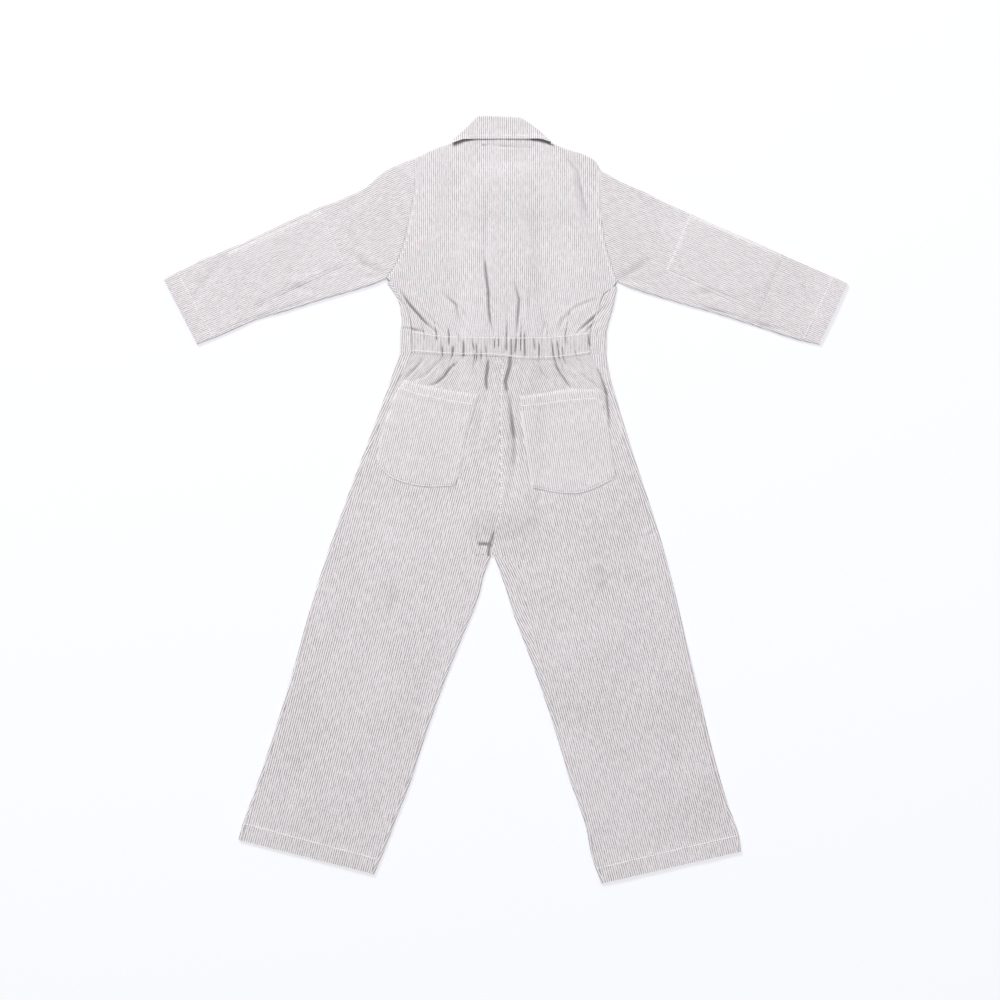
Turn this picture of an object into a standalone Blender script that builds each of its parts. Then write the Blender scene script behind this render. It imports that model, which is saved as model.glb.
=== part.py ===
"""A child's striped coverall, laid flat on its front with its back up.

Every cut piece is a thin cloth wall. The lower layer (fronts) lies on z = 0, and the upper layer (back,
waistband, back legs) lies on it. The fronts roll round the side edges and end on top at a lip, where the
back begins 0.3 mm further in. All tables are in millimetres: x runs to the viewer's right from the middle
of the garment's width, h is the height up the garment above the lowest hem corner.
"""
import math

import bmesh
import bpy
import numpy as np

# ---- driving sizes, mm -------------------------------------------------------------------------------
MM = 0.001
LENGTH = 1075.0                 # collar roll line to the lowest hem corner
CLOTH = 1.3                     # cloth wall
SEAM = 0.3                      # clearance where two pieces meet
EDGE = 2.5                      # how far a rolled side edge reaches inwards
TOP = 2 * EDGE                  # height of the back layer's outside
HEM_DEPTH = 25.0                # turned-up hem at the cuffs and legs
HEM_EXTRA = 0.6                 # the hem's second layer of cloth
HEM_STEP = 2.0                  # the hem's edge falls off over this length
SHOULDER_GAP = 0.25             # half the clearance between front and back at the shoulder

# front closing: a band over an underlap, with buttons below
CENTRE_X = -8.0                 # centre front and centre back
BAND_WIDTH = 30.0
BAND_COLUMNS = [-0.5, -0.28, 0.28, 0.5]       # shares of the band's width
BAND_TOP_H = 978.0
BAND_BOTTOM_H = 524.3
UNDERLAP = 12.0                 # the right front goes this far past the centre
UNDERLAP_LIFT = 4.2             # height of the underlap over the band
UNDERLAP_FULL, UNDERLAP_FADE = 30.0, 24.0     # how far it is raised beside the centre
UNDERLAP_FROM, UNDERLAP_TO = BAND_BOTTOM_H - 16, BAND_BOTTOM_H - 1      # heights where it comes up
CENTRE_RISE = 4.0               # the back layer rises over the closing
RISE_FULL, RISE_FADE = 36.0, 26.0             # and how far beside the centre
RISE_FROM, RISE_TO = BAND_BOTTOM_H - 45, BAND_BOTTOM_H - 5              # heights where it comes up
FALL_FROM, FALL_TO = BAND_TOP_H + 7, BAND_TOP_H + 37                    # and where it goes down again
BUTTON_RADIUS = 6.5
BUTTON_THICK = 1.5
BUTTON_LIFT = 1.9
BUTTON_NEAR, BUTTON_FAR = 10.0, 25.0          # the band is raised within these distances of a button
BUTTON_HEIGHTS = [950.0, 889.0, 828.0, 756.0, 694.0, 632.0, 570.0]

# waistband: elastic in the back, with one gather to every four fine columns
GATHERS = 28
PER_GATHER = 4
GATHER_HEIGHT = 1.5
BAND_SWELL = 0.5                # the elastic lifts the gathered band
FINE = GATHERS * PER_GATHER
HALF_FINE = FINE // 2
GATHER_FROM, GATHER_FULL = 5.6, 19.6          # fine columns from a side seam where the gathers begin

NECK_LIFT = 1.8                 # fronts over the collar leaves
NECK_LIFT_FROM, NECK_LIFT_TO = 922.0, 946.0
NECK_X = -5.5                   # middle of the collar
NECK_NEAR, NECK_FAR = 98.0, 126.0             # the lift ends between these distances from the middle

STRIPED_CLOTH = (0.74, 0.72, 0.715)
BAND_CLOTH = (0.72, 0.70, 0.70)
BUTTON_COLOUR = (0.80, 0.77, 0.70)

# ---- outlines and seams, (x, h) in mm ---------------------------------------------------------------
ARMHOLE_LEFT = [(-127, 1014), (-127, 993), (-128, 972), (-132, 949), (-136, 930), (-140, 910),
                (-146, 889), (-154, 870), (-167, 849)]
ARMHOLE_RIGHT = [(135, 995), (134, 977), (132, 958), (134, 935), (137, 914), (141, 893),
                 (146, 876), (151, 860), (157, 845)]
SIDE_LEFT = [(-166, 841), (-159, 831), (-151, 818), (-147, 801), (-146, 783), (-147, 776)]
SIDE_RIGHT = [(156.5, 836), (154, 822), (150, 804), (145, 787), (142, 774)]
SIDE_SEAM_LEFT = [(-160, 843), (-149, 820), (-137, 804), (-133, 787), (-131.6, 776)]
SIDE_SEAM_RIGHT = [(151, 836), (138, 826), (131, 806), (122, 785), (118.6, 774)]
NECK = [(-76, 1034), (-59, 1041), (-37, 1045), (-6, 1046), (22, 1045), (48, 1041), (65, 1035)]
SHOULDER_LEFT = [(-126.8, 1016.5), (-106, 1026), (-92, 1032), (-78, 1036.5)]
SHOULDER_RIGHT = [(67, 1037), (83, 1030), (111, 1021), (124, 1014), (134.8, 997.5)]

SLEEVE_TOP_LEFT = [(-127, 1017), (-148, 1009), (-176, 993), (-190, 980), (-204, 971), (-260, 948),
                   (-316, 923), (-372, 896), (-422, 876), (-479, 847)]
SLEEVE_LOW_LEFT = [(-168, 845), (-198, 835), (-260, 817), (-307, 802), (-348, 790), (-372, 780),
                   (-414, 762), (-432, 755)]
SLEEVE_TOP_RIGHT = [(136, 998), (160, 985), (188, 972), (244, 945), (300, 920), (356, 896),
                    (412, 871), (468, 846), (479, 841)]
SLEEVE_LOW_RIGHT = [(157, 841), (188, 830), (244, 813), (300, 797), (356, 779), (416, 760),
                    (440, 755)]

BAND_TOP = [(-131, 776), (-96, 770), (-50, 768), (-8, 767), (76, 769), (118, 774)]
BAND_BOTTOM = [(-131, 744), (-92, 741), (-8, 738), (20, 735), (62, 735), (118, 742)]

LEG_OUT_LEFT = [(-148, 744), (-156, 720), (-170, 680), (-190, 626), (-218, 552), (-246, 473),
                (-271, 395), (-303, 280), (-332, 188), (-354, 123), (-368, 85), (-374, 62)]
LEG_IN_LEFT = [(-20, 459), (-30, 433), (-36, 408), (-64, 337), (-89, 273), (-114, 202), (-135, 137),
               (-153, 91), (-172, 41), (-184, 13)]
LEG_OUT_RIGHT = [(141, 742), (146, 713), (158, 671), (177, 608), (200, 538), (215, 491), (236, 413),
                 (254, 337), (271, 266), (293, 176), (310, 116), (328, 63), (330, 45)]
LEG_IN_RIGHT = [(-16, 459), (-2, 420), (10, 381), (32, 323), (50, 273), (71, 209), (89, 148),
                (111, 84), (123, 31), (134, 0)]
CENTRE_SEAM = [(-6.5, 738), (-8, 671), (-8, 566), (-10, 510), (-18, 459)]
CROTCH_SHARE_LEFT, CROTCH_SHARE_RIGHT = 0.405, 0.385    # where the crotch level meets the outseam

# how far the front rolls on to the back at each seam: (share of the leg's length, width in mm)
LIP_OUT_LEFT = [(0.0, 15.0), (0.06, 8.0), (0.12, 4.0), (0.4, 3.0), (1.0, 2.0)]
LIP_OUT_RIGHT = [(0.0, 20.0), (0.05, 6.0), (0.12, 4.0), (0.4, 3.0), (1.0, 2.0)]
LIP_IN_LEFT = [(0.0, 3.0), (1.0, 2.0)]
LIP_IN_RIGHT = [(0.0, 3.0), (0.05, 26.0), (0.11, 23.0), (0.25, 13.0), (0.4, 6.0), (0.55, 3.0), (1.0, 2.0)]

# largest folds of the back layer: a crest or trough along a line, with its half width and height
# (x1, h1, x2, h2, half_width, height)
FOLDS = [
    (-27, 980, -25, 860, 7, -0.8), (-25, 860, -14, 785, 8, 3.0), (14, 850, 16, 785, 8, 2.2),
    (-146, 830, -100, 775, 8, 4.0), (-88, 825, -62, 785, 8, 2.2), (120, 808, 66, 780, 8, 3.0),
    (-112, 740, -140, 720, 8, 4.5), (-66, 728, -108, 712, 8, 4.5), (-24, 730, -32, 650, 8, 2.4),
    (5, 734, 6, 560, 9, 4.0), (60, 730, 92, 696, 8, 2.4), (84, 730, 122, 708, 7, 2.6),
    (80, 1026, 108, 930, 12, 2.6),
]

POCKET_LEFT = dict(
    top=[(-141, 706), (-121, 700), (-82, 692), (-38, 685)],
    bottom=[(-181, 590), (-162, 569), (-136, 559), (-110, 555), (-71, 556)],
    outer=[(-141, 706), (-152, 692), (-164, 661), (-176, 624), (-181, 590)],
    inner=[(-38, 685), (-47, 650), (-54, 622), (-62, 580), (-71, 556)])
POCKET_RIGHT = dict(
    top=[(20, 683), (50, 687), (80, 692), (128, 693)],
    bottom=[(37, 554), (79, 546), (104, 546), (128, 554), (155, 568)],
    outer=[(20, 683), (22, 650), (26, 622), (30, 591), (37, 554)],
    inner=[(128, 693), (136, 671), (146, 632), (152, 590), (155, 568)])
POCKET_LIFT = 0.6
POCKET_HEM = 0.14               # the top hem's share of the pocket's height
POCKET_STEP = 0.012             # share over which the hem's edge falls off
POCKET_ROWS = [0.0, POCKET_HEM - POCKET_STEP, POCKET_HEM, 0.26, 0.383, 0.507, 0.63, 0.753, 0.877, 1.0]
POCKET_COLUMNS = 10

# elbow patches: corners by the armhole (near) and by the cuff (far)
ELBOW_LEFT = dict(near_top=(-257.7, 943), near_low=(-223, 867), far_top=(-390.5, 883), far_low=(-355, 805))
ELBOW_RIGHT = dict(near_top=(256.8, 938), near_low=(223, 858), far_top=(389, 880), far_low=(355, 800))
ELBOW_LIFT = 0.4
NEARBY = 6.0                    # reach within which a laid-on piece looks for the highest point

# back of the collar: stations from left to right, (x, h) of the roll line, the fall's edge, the stand's edge
COLLAR_BACK = [
    # roll_x, roll_h, fall_x, fall_h, stand_x, stand_h, flare
    (-73, 1042, -76, 1036, -75, 1035.2, 3.5),
    (-58, 1056, -60, 1042, -59, 1041.8, 2.0),
    (-38, 1075, -42, 1043, -38, 1045.6, 0.6),
    (-8, 1074.5, -8, 1043, -8, 1046.6, 0.3),
    (22, 1073, 26, 1043, 22, 1045.8, 0.6),
    (47, 1055, 49, 1043, 47, 1042, 2.0),
    (62, 1041, 66, 1037, 64, 1036.4, 3.5),
]
COLLAR_STAND_Z = 5.0            # underside of the back stand
COLLAR_FALL_Z = 9.4             # outside of the fall at the roll line

# the two front leaves of the collar, under the fronts
# roll_x, roll_h, fall_x, fall_h, stand_x, stand_h, flare
LEAF_LEFT = [
    (-73, 1033, -95, 1010, -82, 1028.6, 0),
    (-61, 1022, -92, 994, -69.4, 1013.6, 0),
    (-48, 1008, -85, 977, -56.4, 999.6, 0),
    (-33, 993, -72, 963, -41.4, 985.6, 0),
]
LEAF_RIGHT = [
    (62, 1033, 84, 1010, 71, 1028.6, 0),
    (50, 1022, 81, 994, 58.4, 1013.6, 0),
    (37, 1008, 74, 977, 45.4, 999.6, 0),
    (22, 993, 61, 963, 30.4, 985.6, 0),
]
LEAF_STAND_Z = 3.2              # top of the leaf's stand; its fall lies on the ground
THROAT_LEFT = [(-83, 1028), (-70, 1013), (-57, 999), (-42, 985)]
THROAT_RIGHT = [(72, 1028), (59, 1013), (46, 999), (31, 985)]


# ---- curves and patches -----------------------------------------------------------------------------
def along(line, shares):
    """Points at the given shares of a line's length."""
    line = np.asarray(line, float)
    run = np.r_[0.0, np.cumsum(np.hypot(*np.diff(line, axis=0).T))]
    spots = np.asarray(shares, float) * run[-1]
    return np.stack([np.interp(spots, run, line[:, i]) for i in (0, 1)], axis=1)


def evenly(line, count):
    """A line resampled to count points at equal steps."""
    return along(line, np.linspace(0, 1, count))


def inwards(line, side):
    """Unit normals of a line; side is +1 for its right and -1 for its left."""
    step = np.gradient(np.asarray(line, float), axis=0)
    step /= np.linalg.norm(step, axis=1)[:, None]
    return side * np.stack([step[:, 1], -step[:, 0]], axis=1)


def coons(top, bottom, left, right):
    """Grid that blends four border lines: rows run from top to bottom, columns from left to right."""
    top, bottom, left, right = (np.asarray(line, float) for line in (top, bottom, left, right))
    v = np.linspace(0, 1, len(left))[:, None, None]
    u = np.linspace(0, 1, len(top))[None, :, None]
    sides = (1 - u) * left[:, None] + u * right[:, None]
    ends = (1 - v) * top[None] + v * bottom[None]
    corners = ((1 - u) * (1 - v) * left[0] + u * (1 - v) * right[0]
               + (1 - u) * v * left[-1] + u * v * right[-1])
    return sides + ends - corners


def smooth_step(value):
    value = np.clip(value, 0.0, 1.0)
    return value * value * (3 - 2 * value)


# ---- heights of the two layers ----------------------------------------------------------------------
def fold_height(x, h):
    """Sum of the crests and troughs: a bell across each line, dying out past its ends."""
    total = np.zeros_like(x)
    for x1, h1, x2, h2, half_width, height in FOLDS:
        run = np.array([x2 - x1, h2 - h1], float)
        length = np.hypot(*run)
        t = ((x - x1) * run[0] + (h - h1) * run[1]) / length ** 2
        across = ((x - x1) * run[1] - (h - h1) * run[0]) / length
        past = length * np.maximum(np.maximum(-t, t - 1), 0)
        total += height * np.exp(-(across / half_width) ** 2 - (past / (1.4 * half_width)) ** 2)
    return total


def neck_lift(x, h):
    """Rise of both layers over the collar's front leaves."""
    beside = 1 - smooth_step((np.abs(x - NECK_X) - NECK_NEAR) / (NECK_FAR - NECK_NEAR))
    return NECK_LIFT * beside * smooth_step((h - NECK_LIFT_FROM) / (NECK_LIFT_TO - NECK_LIFT_FROM))


def plain_height(x, h):
    """Outside of the back layer without its folds."""
    low_end = smooth_step((h - RISE_FROM) / (RISE_TO - RISE_FROM))
    high_end = 1 - smooth_step((h - FALL_FROM) / (FALL_TO - FALL_FROM))
    beside = 1 - smooth_step((np.abs(x - CENTRE_X) - RISE_FULL) / RISE_FADE)
    rise = CENTRE_RISE * beside * low_end * high_end
    return TOP + rise + neck_lift(x, h)


def back_height(x, h):
    """Outside of the back layer."""
    return plain_height(x, h) + fold_height(x, h)


def flat_floor(x, h):
    return np.zeros_like(x)


def right_floor(x, h):
    """Underside of the right front: it rises over the collar leaf and over the button band."""
    beside = 1 - smooth_step((x - CENTRE_X - UNDERLAP_FULL) / UNDERLAP_FADE)
    above = smooth_step((h - UNDERLAP_FROM) / (UNDERLAP_TO - UNDERLAP_FROM))
    return np.maximum(neck_lift(x, h), UNDERLAP_LIFT * beside * above)


def button_floor(x, h):
    """Underside of the button band: it rises over each button."""
    lift = np.zeros_like(x)
    for button_h in BUTTON_HEIGHTS:
        away = np.hypot(x - CENTRE_X, h - button_h)
        near = 1 - smooth_step((away - BUTTON_NEAR) / (BUTTON_FAR - BUTTON_NEAR))
        lift = np.maximum(lift, BUTTON_LIFT * near)
    return lift


# ---- walls ------------------------------------------------------------------------------------------
def solid(plan, height):
    return np.dstack([plan[..., 0], plan[..., 1], height])


def upper_layer(plan, wave=0.0, extra=0.0):
    """Outer and inner points of a piece of the back layer."""
    height = back_height(plan[..., 0], plan[..., 1]) + wave
    return solid(plan, height + extra), solid(plan, height - CLOTH)


def lower_layer(plan, floor=flat_floor, extra=0.0):
    """Outer and inner points of a piece of the front layer."""
    height = floor(plan[..., 0], plan[..., 1])
    return solid(plan, height), solid(plan, height + CLOTH + extra)


def rolled_edge(inner_line, outward, low, high, extra=0.0, steps=5):
    """Half round outside a line, from the lower layer's outside to the upper layer's."""
    centre = np.asarray(inner_line, float)[:, None]
    middle, reach = (low + high) / 2, (high - low) / 2
    angle = np.linspace(0, math.pi, steps)[None, :, None]
    walls = []
    for thick in (0.0, CLOTH):
        plan = centre + outward[:, None] * (EDGE - thick) * np.sin(angle)
        rise = reach - (thick + extra if thick else 0.0)
        walls.append(solid(plan, middle[:, None] - rise[:, None] * np.cos(angle[..., 0])))
    return walls[0], walls[1]


def quarter_edge(inner_line, low, high, upper, steps=3):
    """Quarter round above a shoulder: the upper half or the lower half of the rolled edge."""
    middle = (low + high) / 2 + (SHOULDER_GAP if upper else -SHOULDER_GAP)
    level = high if upper else low
    angle = np.linspace(0, math.pi / 2, steps)[None, :]
    walls = []
    for thick in (0.0, CLOTH):
        plan = np.repeat(np.asarray(inner_line, float)[:, None], steps, axis=1)
        plan[..., 1] += (EDGE - thick) * np.sin(angle)
        reach = level - middle
        reach = reach - np.sign(reach) * thick
        walls.append(solid(plan, middle[:, None] + reach[:, None] * np.cos(angle)))
    return walls[0], walls[1]


def between(first, second, count=2):
    """Grid of count columns between two lines of equal length."""
    share = np.linspace(0, 1, count)[None, :, None]
    return np.asarray(first)[:, None] * (1 - share) + np.asarray(second)[:, None] * share


def fan(coarse, fine):
    """Triangles from a row of points to a row with PER_GATHER times as many steps."""
    faces = []
    half = PER_GATHER // 2
    for cell in range(len(coarse) - 1):
        a, b = coarse[cell], coarse[cell + 1]
        row = fine[cell * PER_GATHER:(cell + 1) * PER_GATHER + 1]
        faces += [(a, row[i], row[i + 1]) for i in range(half)]
        faces.append((a, row[half], b))
        faces += [(b, row[i], row[i + 1]) for i in range(half, PER_GATHER)]
    return faces


class Wall:
    """A cloth wall put together from grids that share their border points."""

    def __init__(self):
        self.index, self.outer, self.inner, self.faces = {}, [], [], []

    def point(self, outer, inner):
        key = tuple(int(round(value * 1000)) for value in outer)
        if key not in self.index:
            self.index[key] = len(self.outer)
            self.outer.append(tuple(outer))
            self.inner.append(tuple(inner))
        return self.index[key]

    def row(self, outer, inner):
        return [self.point(a, b) for a, b in zip(outer, inner)]

    def grid(self, layer, close=False):
        """Add a grid of quads and return its rows of point numbers."""
        rows = [self.row(a, b) for a, b in zip(*layer)]
        for first, second in zip(rows, rows[1:]):
            self.faces += [(first[i], first[i + 1], second[i + 1], second[i])
                           for i in range(len(first) - 1)]
        return rows

    def build(self, name, colour=STRIPED_CLOTH):
        """Close the wall along its free borders and make the named object."""
        uses = {}
        for face in self.faces:
            for a, b in zip(face, face[1:] + face[:1]):
                uses.setdefault(frozenset((a, b)), []).append((a, b))
        count = len(self.outer)
        faces = list(self.faces)
        faces += [tuple(i + count for i in reversed(face)) for face in self.faces]
        faces += [(b, a, a + count, b + count) for (a, b), *more in uses.values() if not more]
        mesh = bpy.data.meshes.new(name)
        points = np.array(self.outer + self.inner) - (0.0, LENGTH / 2, 0.0)
        mesh.from_pydata((points * MM).tolist(), [], faces)
        turn_outwards(mesh)
        return add_object(name, mesh, colour)


def turn_outwards(mesh):
    work = bmesh.new()
    work.from_mesh(mesh)
    bmesh.ops.triangulate(work, faces=work.faces[:])
    bmesh.ops.recalc_face_normals(work, faces=work.faces[:])
    work.to_mesh(mesh)
    work.free()


def cloth_material(name, colour, roughness=0.9):
    material = bpy.data.materials.new(name)
    material.use_nodes = True
    shader = material.node_tree.nodes["Principled BSDF"]
    shader.inputs["Base Color"].default_value = (*colour, 1.0)
    shader.inputs["Roughness"].default_value = roughness
    shader.inputs["Metallic"].default_value = 0.0
    return material


def add_object(name, mesh, colour, roughness=0.9):
    mesh.materials.append(cloth_material(name + "_finish", colour, roughness))
    piece = bpy.data.objects.new(name, mesh)
    bpy.context.scene.collection.objects.link(piece)
    return piece


# ---- bodice and waistband ---------------------------------------------------------------------------
SIDES = {
    "left": dict(hand=1, armhole=ARMHOLE_LEFT, side=SIDE_LEFT, seam=SIDE_SEAM_LEFT,
                 shoulder=SHOULDER_LEFT, throat=THROAT_LEFT, sleeve_top=SLEEVE_TOP_LEFT,
                 sleeve_low=SLEEVE_LOW_LEFT, elbow=ELBOW_LEFT, leaf=LEAF_LEFT, floor=neck_lift,
                 centre=CENTRE_X - BAND_WIDTH / 2 - SEAM, leg_out=LEG_OUT_LEFT, leg_in=LEG_IN_LEFT,
                 crotch=CROTCH_SHARE_LEFT, lip_out=LIP_OUT_LEFT, lip_in=LIP_IN_LEFT,
                 pocket=POCKET_LEFT, band_end=[(-147, 776), (-148, 744)], band_seam=-131.6),
    "right": dict(hand=-1, armhole=ARMHOLE_RIGHT, side=SIDE_RIGHT, seam=SIDE_SEAM_RIGHT,
                  shoulder=SHOULDER_RIGHT[::-1], throat=THROAT_RIGHT, sleeve_top=SLEEVE_TOP_RIGHT,
                  sleeve_low=SLEEVE_LOW_RIGHT, elbow=ELBOW_RIGHT, leaf=LEAF_RIGHT, floor=right_floor,
                  centre=CENTRE_X - UNDERLAP, leg_out=LEG_OUT_RIGHT, leg_in=LEG_IN_RIGHT,
                  crotch=CROTCH_SHARE_RIGHT, lip_out=LIP_OUT_RIGHT, lip_in=LIP_IN_RIGHT,
                  pocket=POCKET_RIGHT, band_end=[(142, 774), (141, 742)], band_seam=118.6),
}
SIDE_SHARES = [0.0, 0.3, 0.55, 0.7, 0.88, 1.0]      # rows of the bodice below the underarm
SHOULDER_CELLS, NECK_CELLS = (5, 9), 14             # coarse columns of the back's upper border
SHOULDER_COLUMNS = 4                                # points along a front's shoulder
COARSE = slice(None, None, PER_GATHER)


def gather_wave():
    """Height of the gathers at each fine column: full in the middle, none at the side seams."""
    column = np.arange(FINE + 1)
    from_end = np.minimum(column, FINE - column)
    ends = smooth_step((from_end - GATHER_FROM) / (GATHER_FULL - GATHER_FROM))
    return GATHER_HEIGHT * ends * np.cos(2 * math.pi * column / PER_GATHER)


def back_bodice():
    edges = []
    for side in SIDES.values():
        armhole = np.add(side["armhole"], (side["hand"] * SEAM / 2, 0))
        seam = np.add(along(side["seam"], SIDE_SHARES), (side["hand"] * SEAM, 0))
        edges.append(np.vstack([armhole, seam]))
    left_cells, right_cells = (cells * PER_GATHER for cells in SHOULDER_CELLS)
    shoulder_left = np.vstack([edges[0][:1], np.subtract(SHOULDER_LEFT, (0, EDGE))[1:]])
    shoulder_right = np.vstack([np.subtract(SHOULDER_RIGHT, (0, EDGE))[:-1], edges[1][:1]])
    top = np.vstack([evenly(shoulder_left, left_cells + 1)[:-1],
                     evenly(NECK, NECK_CELLS * PER_GATHER + 1),
                     evenly(shoulder_right, right_cells + 1)[1:]])
    plan = coons(top, np.add(evenly(BAND_TOP, FINE + 1), (0, SEAM / 2)), *edges)
    fade = np.zeros(len(plan))
    fade[-3:] = (0.35, 0.75, 1.0)
    outer, inner = upper_layer(plan, fade[:, None] * gather_wave())
    wall = Wall()
    rows = wall.grid((outer[:-3, COARSE], inner[:-3, COARSE]))
    fine = wall.grid((outer[-3:], inner[-3:]))
    wall.faces += fan(rows[-1], fine[0])
    for line in (top[:left_cells + 1:PER_GATHER], top[-right_cells - 1::PER_GATHER]):
        x, h = line.T
        wall.grid(quarter_edge(line, neck_lift(x, h), back_height(x, h), upper=True))
    return wall.build("back_bodice")


def outline_roll(outline, inward, floor, extra=0.0):
    """Line that an outline rolls in to, with the rolled edge between the layers."""
    line = outline + EDGE * inward
    x, h = line.T
    return line, rolled_edge(line, -inward, floor(x, h), back_height(x, h) + extra, extra)


def front_bodice(name):
    side = SIDES[name]
    floor, hand = side["floor"], side["hand"]
    armhole = np.add(side["armhole"], (hand * SEAM / 2, 0))
    outline, seam = (along(side[key], SIDE_SHARES) for key in ("side", "seam"))
    outline[-1, 1] += SEAM / 2
    seam[-1, 1] += SEAM / 2
    inward = inwards(outline, -hand)
    inward[-1] = (hand, 0)
    line, roll = outline_roll(outline, inward, floor)
    border = np.vstack([armhole, line])
    shoulder = np.vstack([border[:1], np.subtract(side["shoulder"], (0, EDGE))[1:]])
    top = np.vstack([evenly(shoulder, SHOULDER_COLUMNS), side["throat"], [(side["centre"], BAND_TOP_H)]])
    waist_h = np.interp(side["centre"], *np.asarray(BAND_TOP, float).T) + SEAM / 2
    middle = evenly([(side["centre"], BAND_TOP_H), (side["centre"], waist_h)], len(border))
    bottom = evenly([border[-1], middle[-1]], len(top))
    wall = Wall()
    wall.grid(lower_layer(coons(top, bottom, border, middle), floor))
    wall.grid(roll)
    wall.grid(upper_layer(between(line, seam)))
    x, h = top[:SHOULDER_COLUMNS].T
    wall.grid(quarter_edge(top[:SHOULDER_COLUMNS], floor(x, h), plain_height(x, h), upper=False))
    return wall.build("front_bodice_" + name)


def band_rows(seam_line, x, shift):
    """Points of a waist seam at the given x, moved up or down by half the clearance."""
    seam = np.asarray(seam_line, float)
    return np.stack([x, np.interp(x, *seam.T) + shift], axis=1)


def waistband_back():
    x = evenly(BAND_TOP, FINE + 1)[:, 0]
    low_x = evenly(BAND_BOTTOM, FINE + 1)[:, 0]
    rows = [band_rows(BAND_TOP, x, -SEAM / 2), band_rows(BAND_BOTTOM, low_x, SEAM / 2)]
    plan = between(*rows, 3).transpose(1, 0, 2)
    swell = np.array([1.0, 1.3, 1.0])[:, None]
    wall = Wall()
    wall.grid(upper_layer(plan, swell * gather_wave() + BAND_SWELL, HEM_EXTRA))
    return wall.build("waistband_back", BAND_CLOTH)


def waistband_front(name):
    side = SIDES[name]
    floor, hand = side["floor"], side["hand"]
    outline = np.add(side["band_end"], [(0, -SEAM / 2), (0, SEAM / 2)])
    inward = np.array([(hand, 0.0)] * 2)
    line, roll = outline_roll(outline, inward, floor)
    seam = np.stack([np.full(2, side["band_seam"]), outline[:, 1]], axis=1)
    ends = [np.interp(side["centre"], *np.asarray(row, float).T) for row in (BAND_TOP, BAND_BOTTOM)]
    middle = np.array([(side["centre"], ends[0] - SEAM / 2), (side["centre"], ends[1] + SEAM / 2)])
    wall = Wall()
    wall.grid(lower_layer(between(line, middle, 9), floor))
    wall.grid(roll)
    wall.grid(upper_layer(between(line, seam)))
    return wall.build("waistband_front_" + name, BAND_CLOTH)


# ---- sleeves ----------------------------------------------------------------------------------------
def hem_shares(line, count):
    """Shares for rows along a line, with the hem's step near its end."""
    length = np.hypot(*np.diff(np.asarray(line, float), axis=0).T).sum()
    hem = 1 - HEM_DEPTH / length
    return np.r_[np.linspace(0, hem - HEM_STEP / length, count - 2), hem, 1.0]


def sleeve(name, rings=11, across=9):
    side = SIDES[name]
    hand = side["hand"]
    shares = hem_shares(side["sleeve_top"], rings)
    extra = np.zeros(rings)
    extra[-2:] = HEM_EXTRA
    armhole = np.subtract(side["armhole"], (hand * SEAM / 2, 0))
    wall = Wall()
    lines = []
    for key, turn, start in (("sleeve_top", -hand, armhole[0]), ("sleeve_low", hand, armhole[-1])):
        outline = along(side[key], shares)
        inward = inwards(outline, turn)
        inward[0] = (0, hand * turn)
        line = outline + EDGE * inward
        line[0] = start
        x, h = line.T
        wall.grid(rolled_edge(line, -inward, flat_floor(x, h), back_height(x, h) + extra, extra))
        lines.append(line)
    cuff = evenly([lines[0][-1], lines[1][-1]], across)
    plan = coons(armhole, cuff, *lines)
    wall.grid(upper_layer(plan, extra=extra[:, None]))
    wall.grid(lower_layer(plan, extra=extra[:, None]))
    return wall.build("sleeve_" + name)


def laid_on(plan, lift, extra=0.0):
    """A flat piece stitched on the back layer: it lies on the highest points round each of its own."""
    x, h = plan[..., 0], plan[..., 1]
    around = [(0, 0), (NEARBY, 0), (-NEARBY, 0), (0, NEARBY), (0, -NEARBY)]
    height = np.max([back_height(x + dx, h + dh) for dx, dh in around], axis=0) + lift
    return solid(plan, height + CLOTH + extra), solid(plan, height)


def elbow_patch(name):
    corner = SIDES[name]["elbow"]
    near = evenly([corner["near_top"], corner["near_low"]], 6)
    far = evenly([corner["far_top"], corner["far_low"]], 6)
    wall = Wall()
    wall.grid(laid_on(between(near, far, 9), ELBOW_LIFT))
    return wall.build("elbow_patch_" + name)


# ---- legs and pockets -------------------------------------------------------------------------------
RISE_ROWS = [738, 730, 718, 703, 688, 660, 632, 604, 576, 548, 524, 519.6, 503, 480]     # h at the centre
FLY_ROWS = RISE_ROWS.index(524) + 1
LEG_ROWS = 8


def leg_lines(name):
    """Outseam and inseam outlines at the shared rows, with the lips' widths."""
    side = SIDES[name]
    rise = np.array([(RISE_ROWS[0] - h) / (RISE_ROWS[0] - side["leg_in"][0][1]) for h in RISE_ROWS])
    below = hem_shares(side["leg_in"], LEG_ROWS)
    shares = np.r_[rise * side["crotch"], side["crotch"] + (1 - side["crotch"]) * below]
    outside = along(side["leg_out"], shares)
    inside = along(side["leg_in"], below)
    lip_out = np.interp(shares, *np.array(side["lip_out"]).T)
    lip_in = np.interp(below, *np.array(side["lip_in"]).T)
    return outside, inside, lip_out, lip_in


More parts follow.
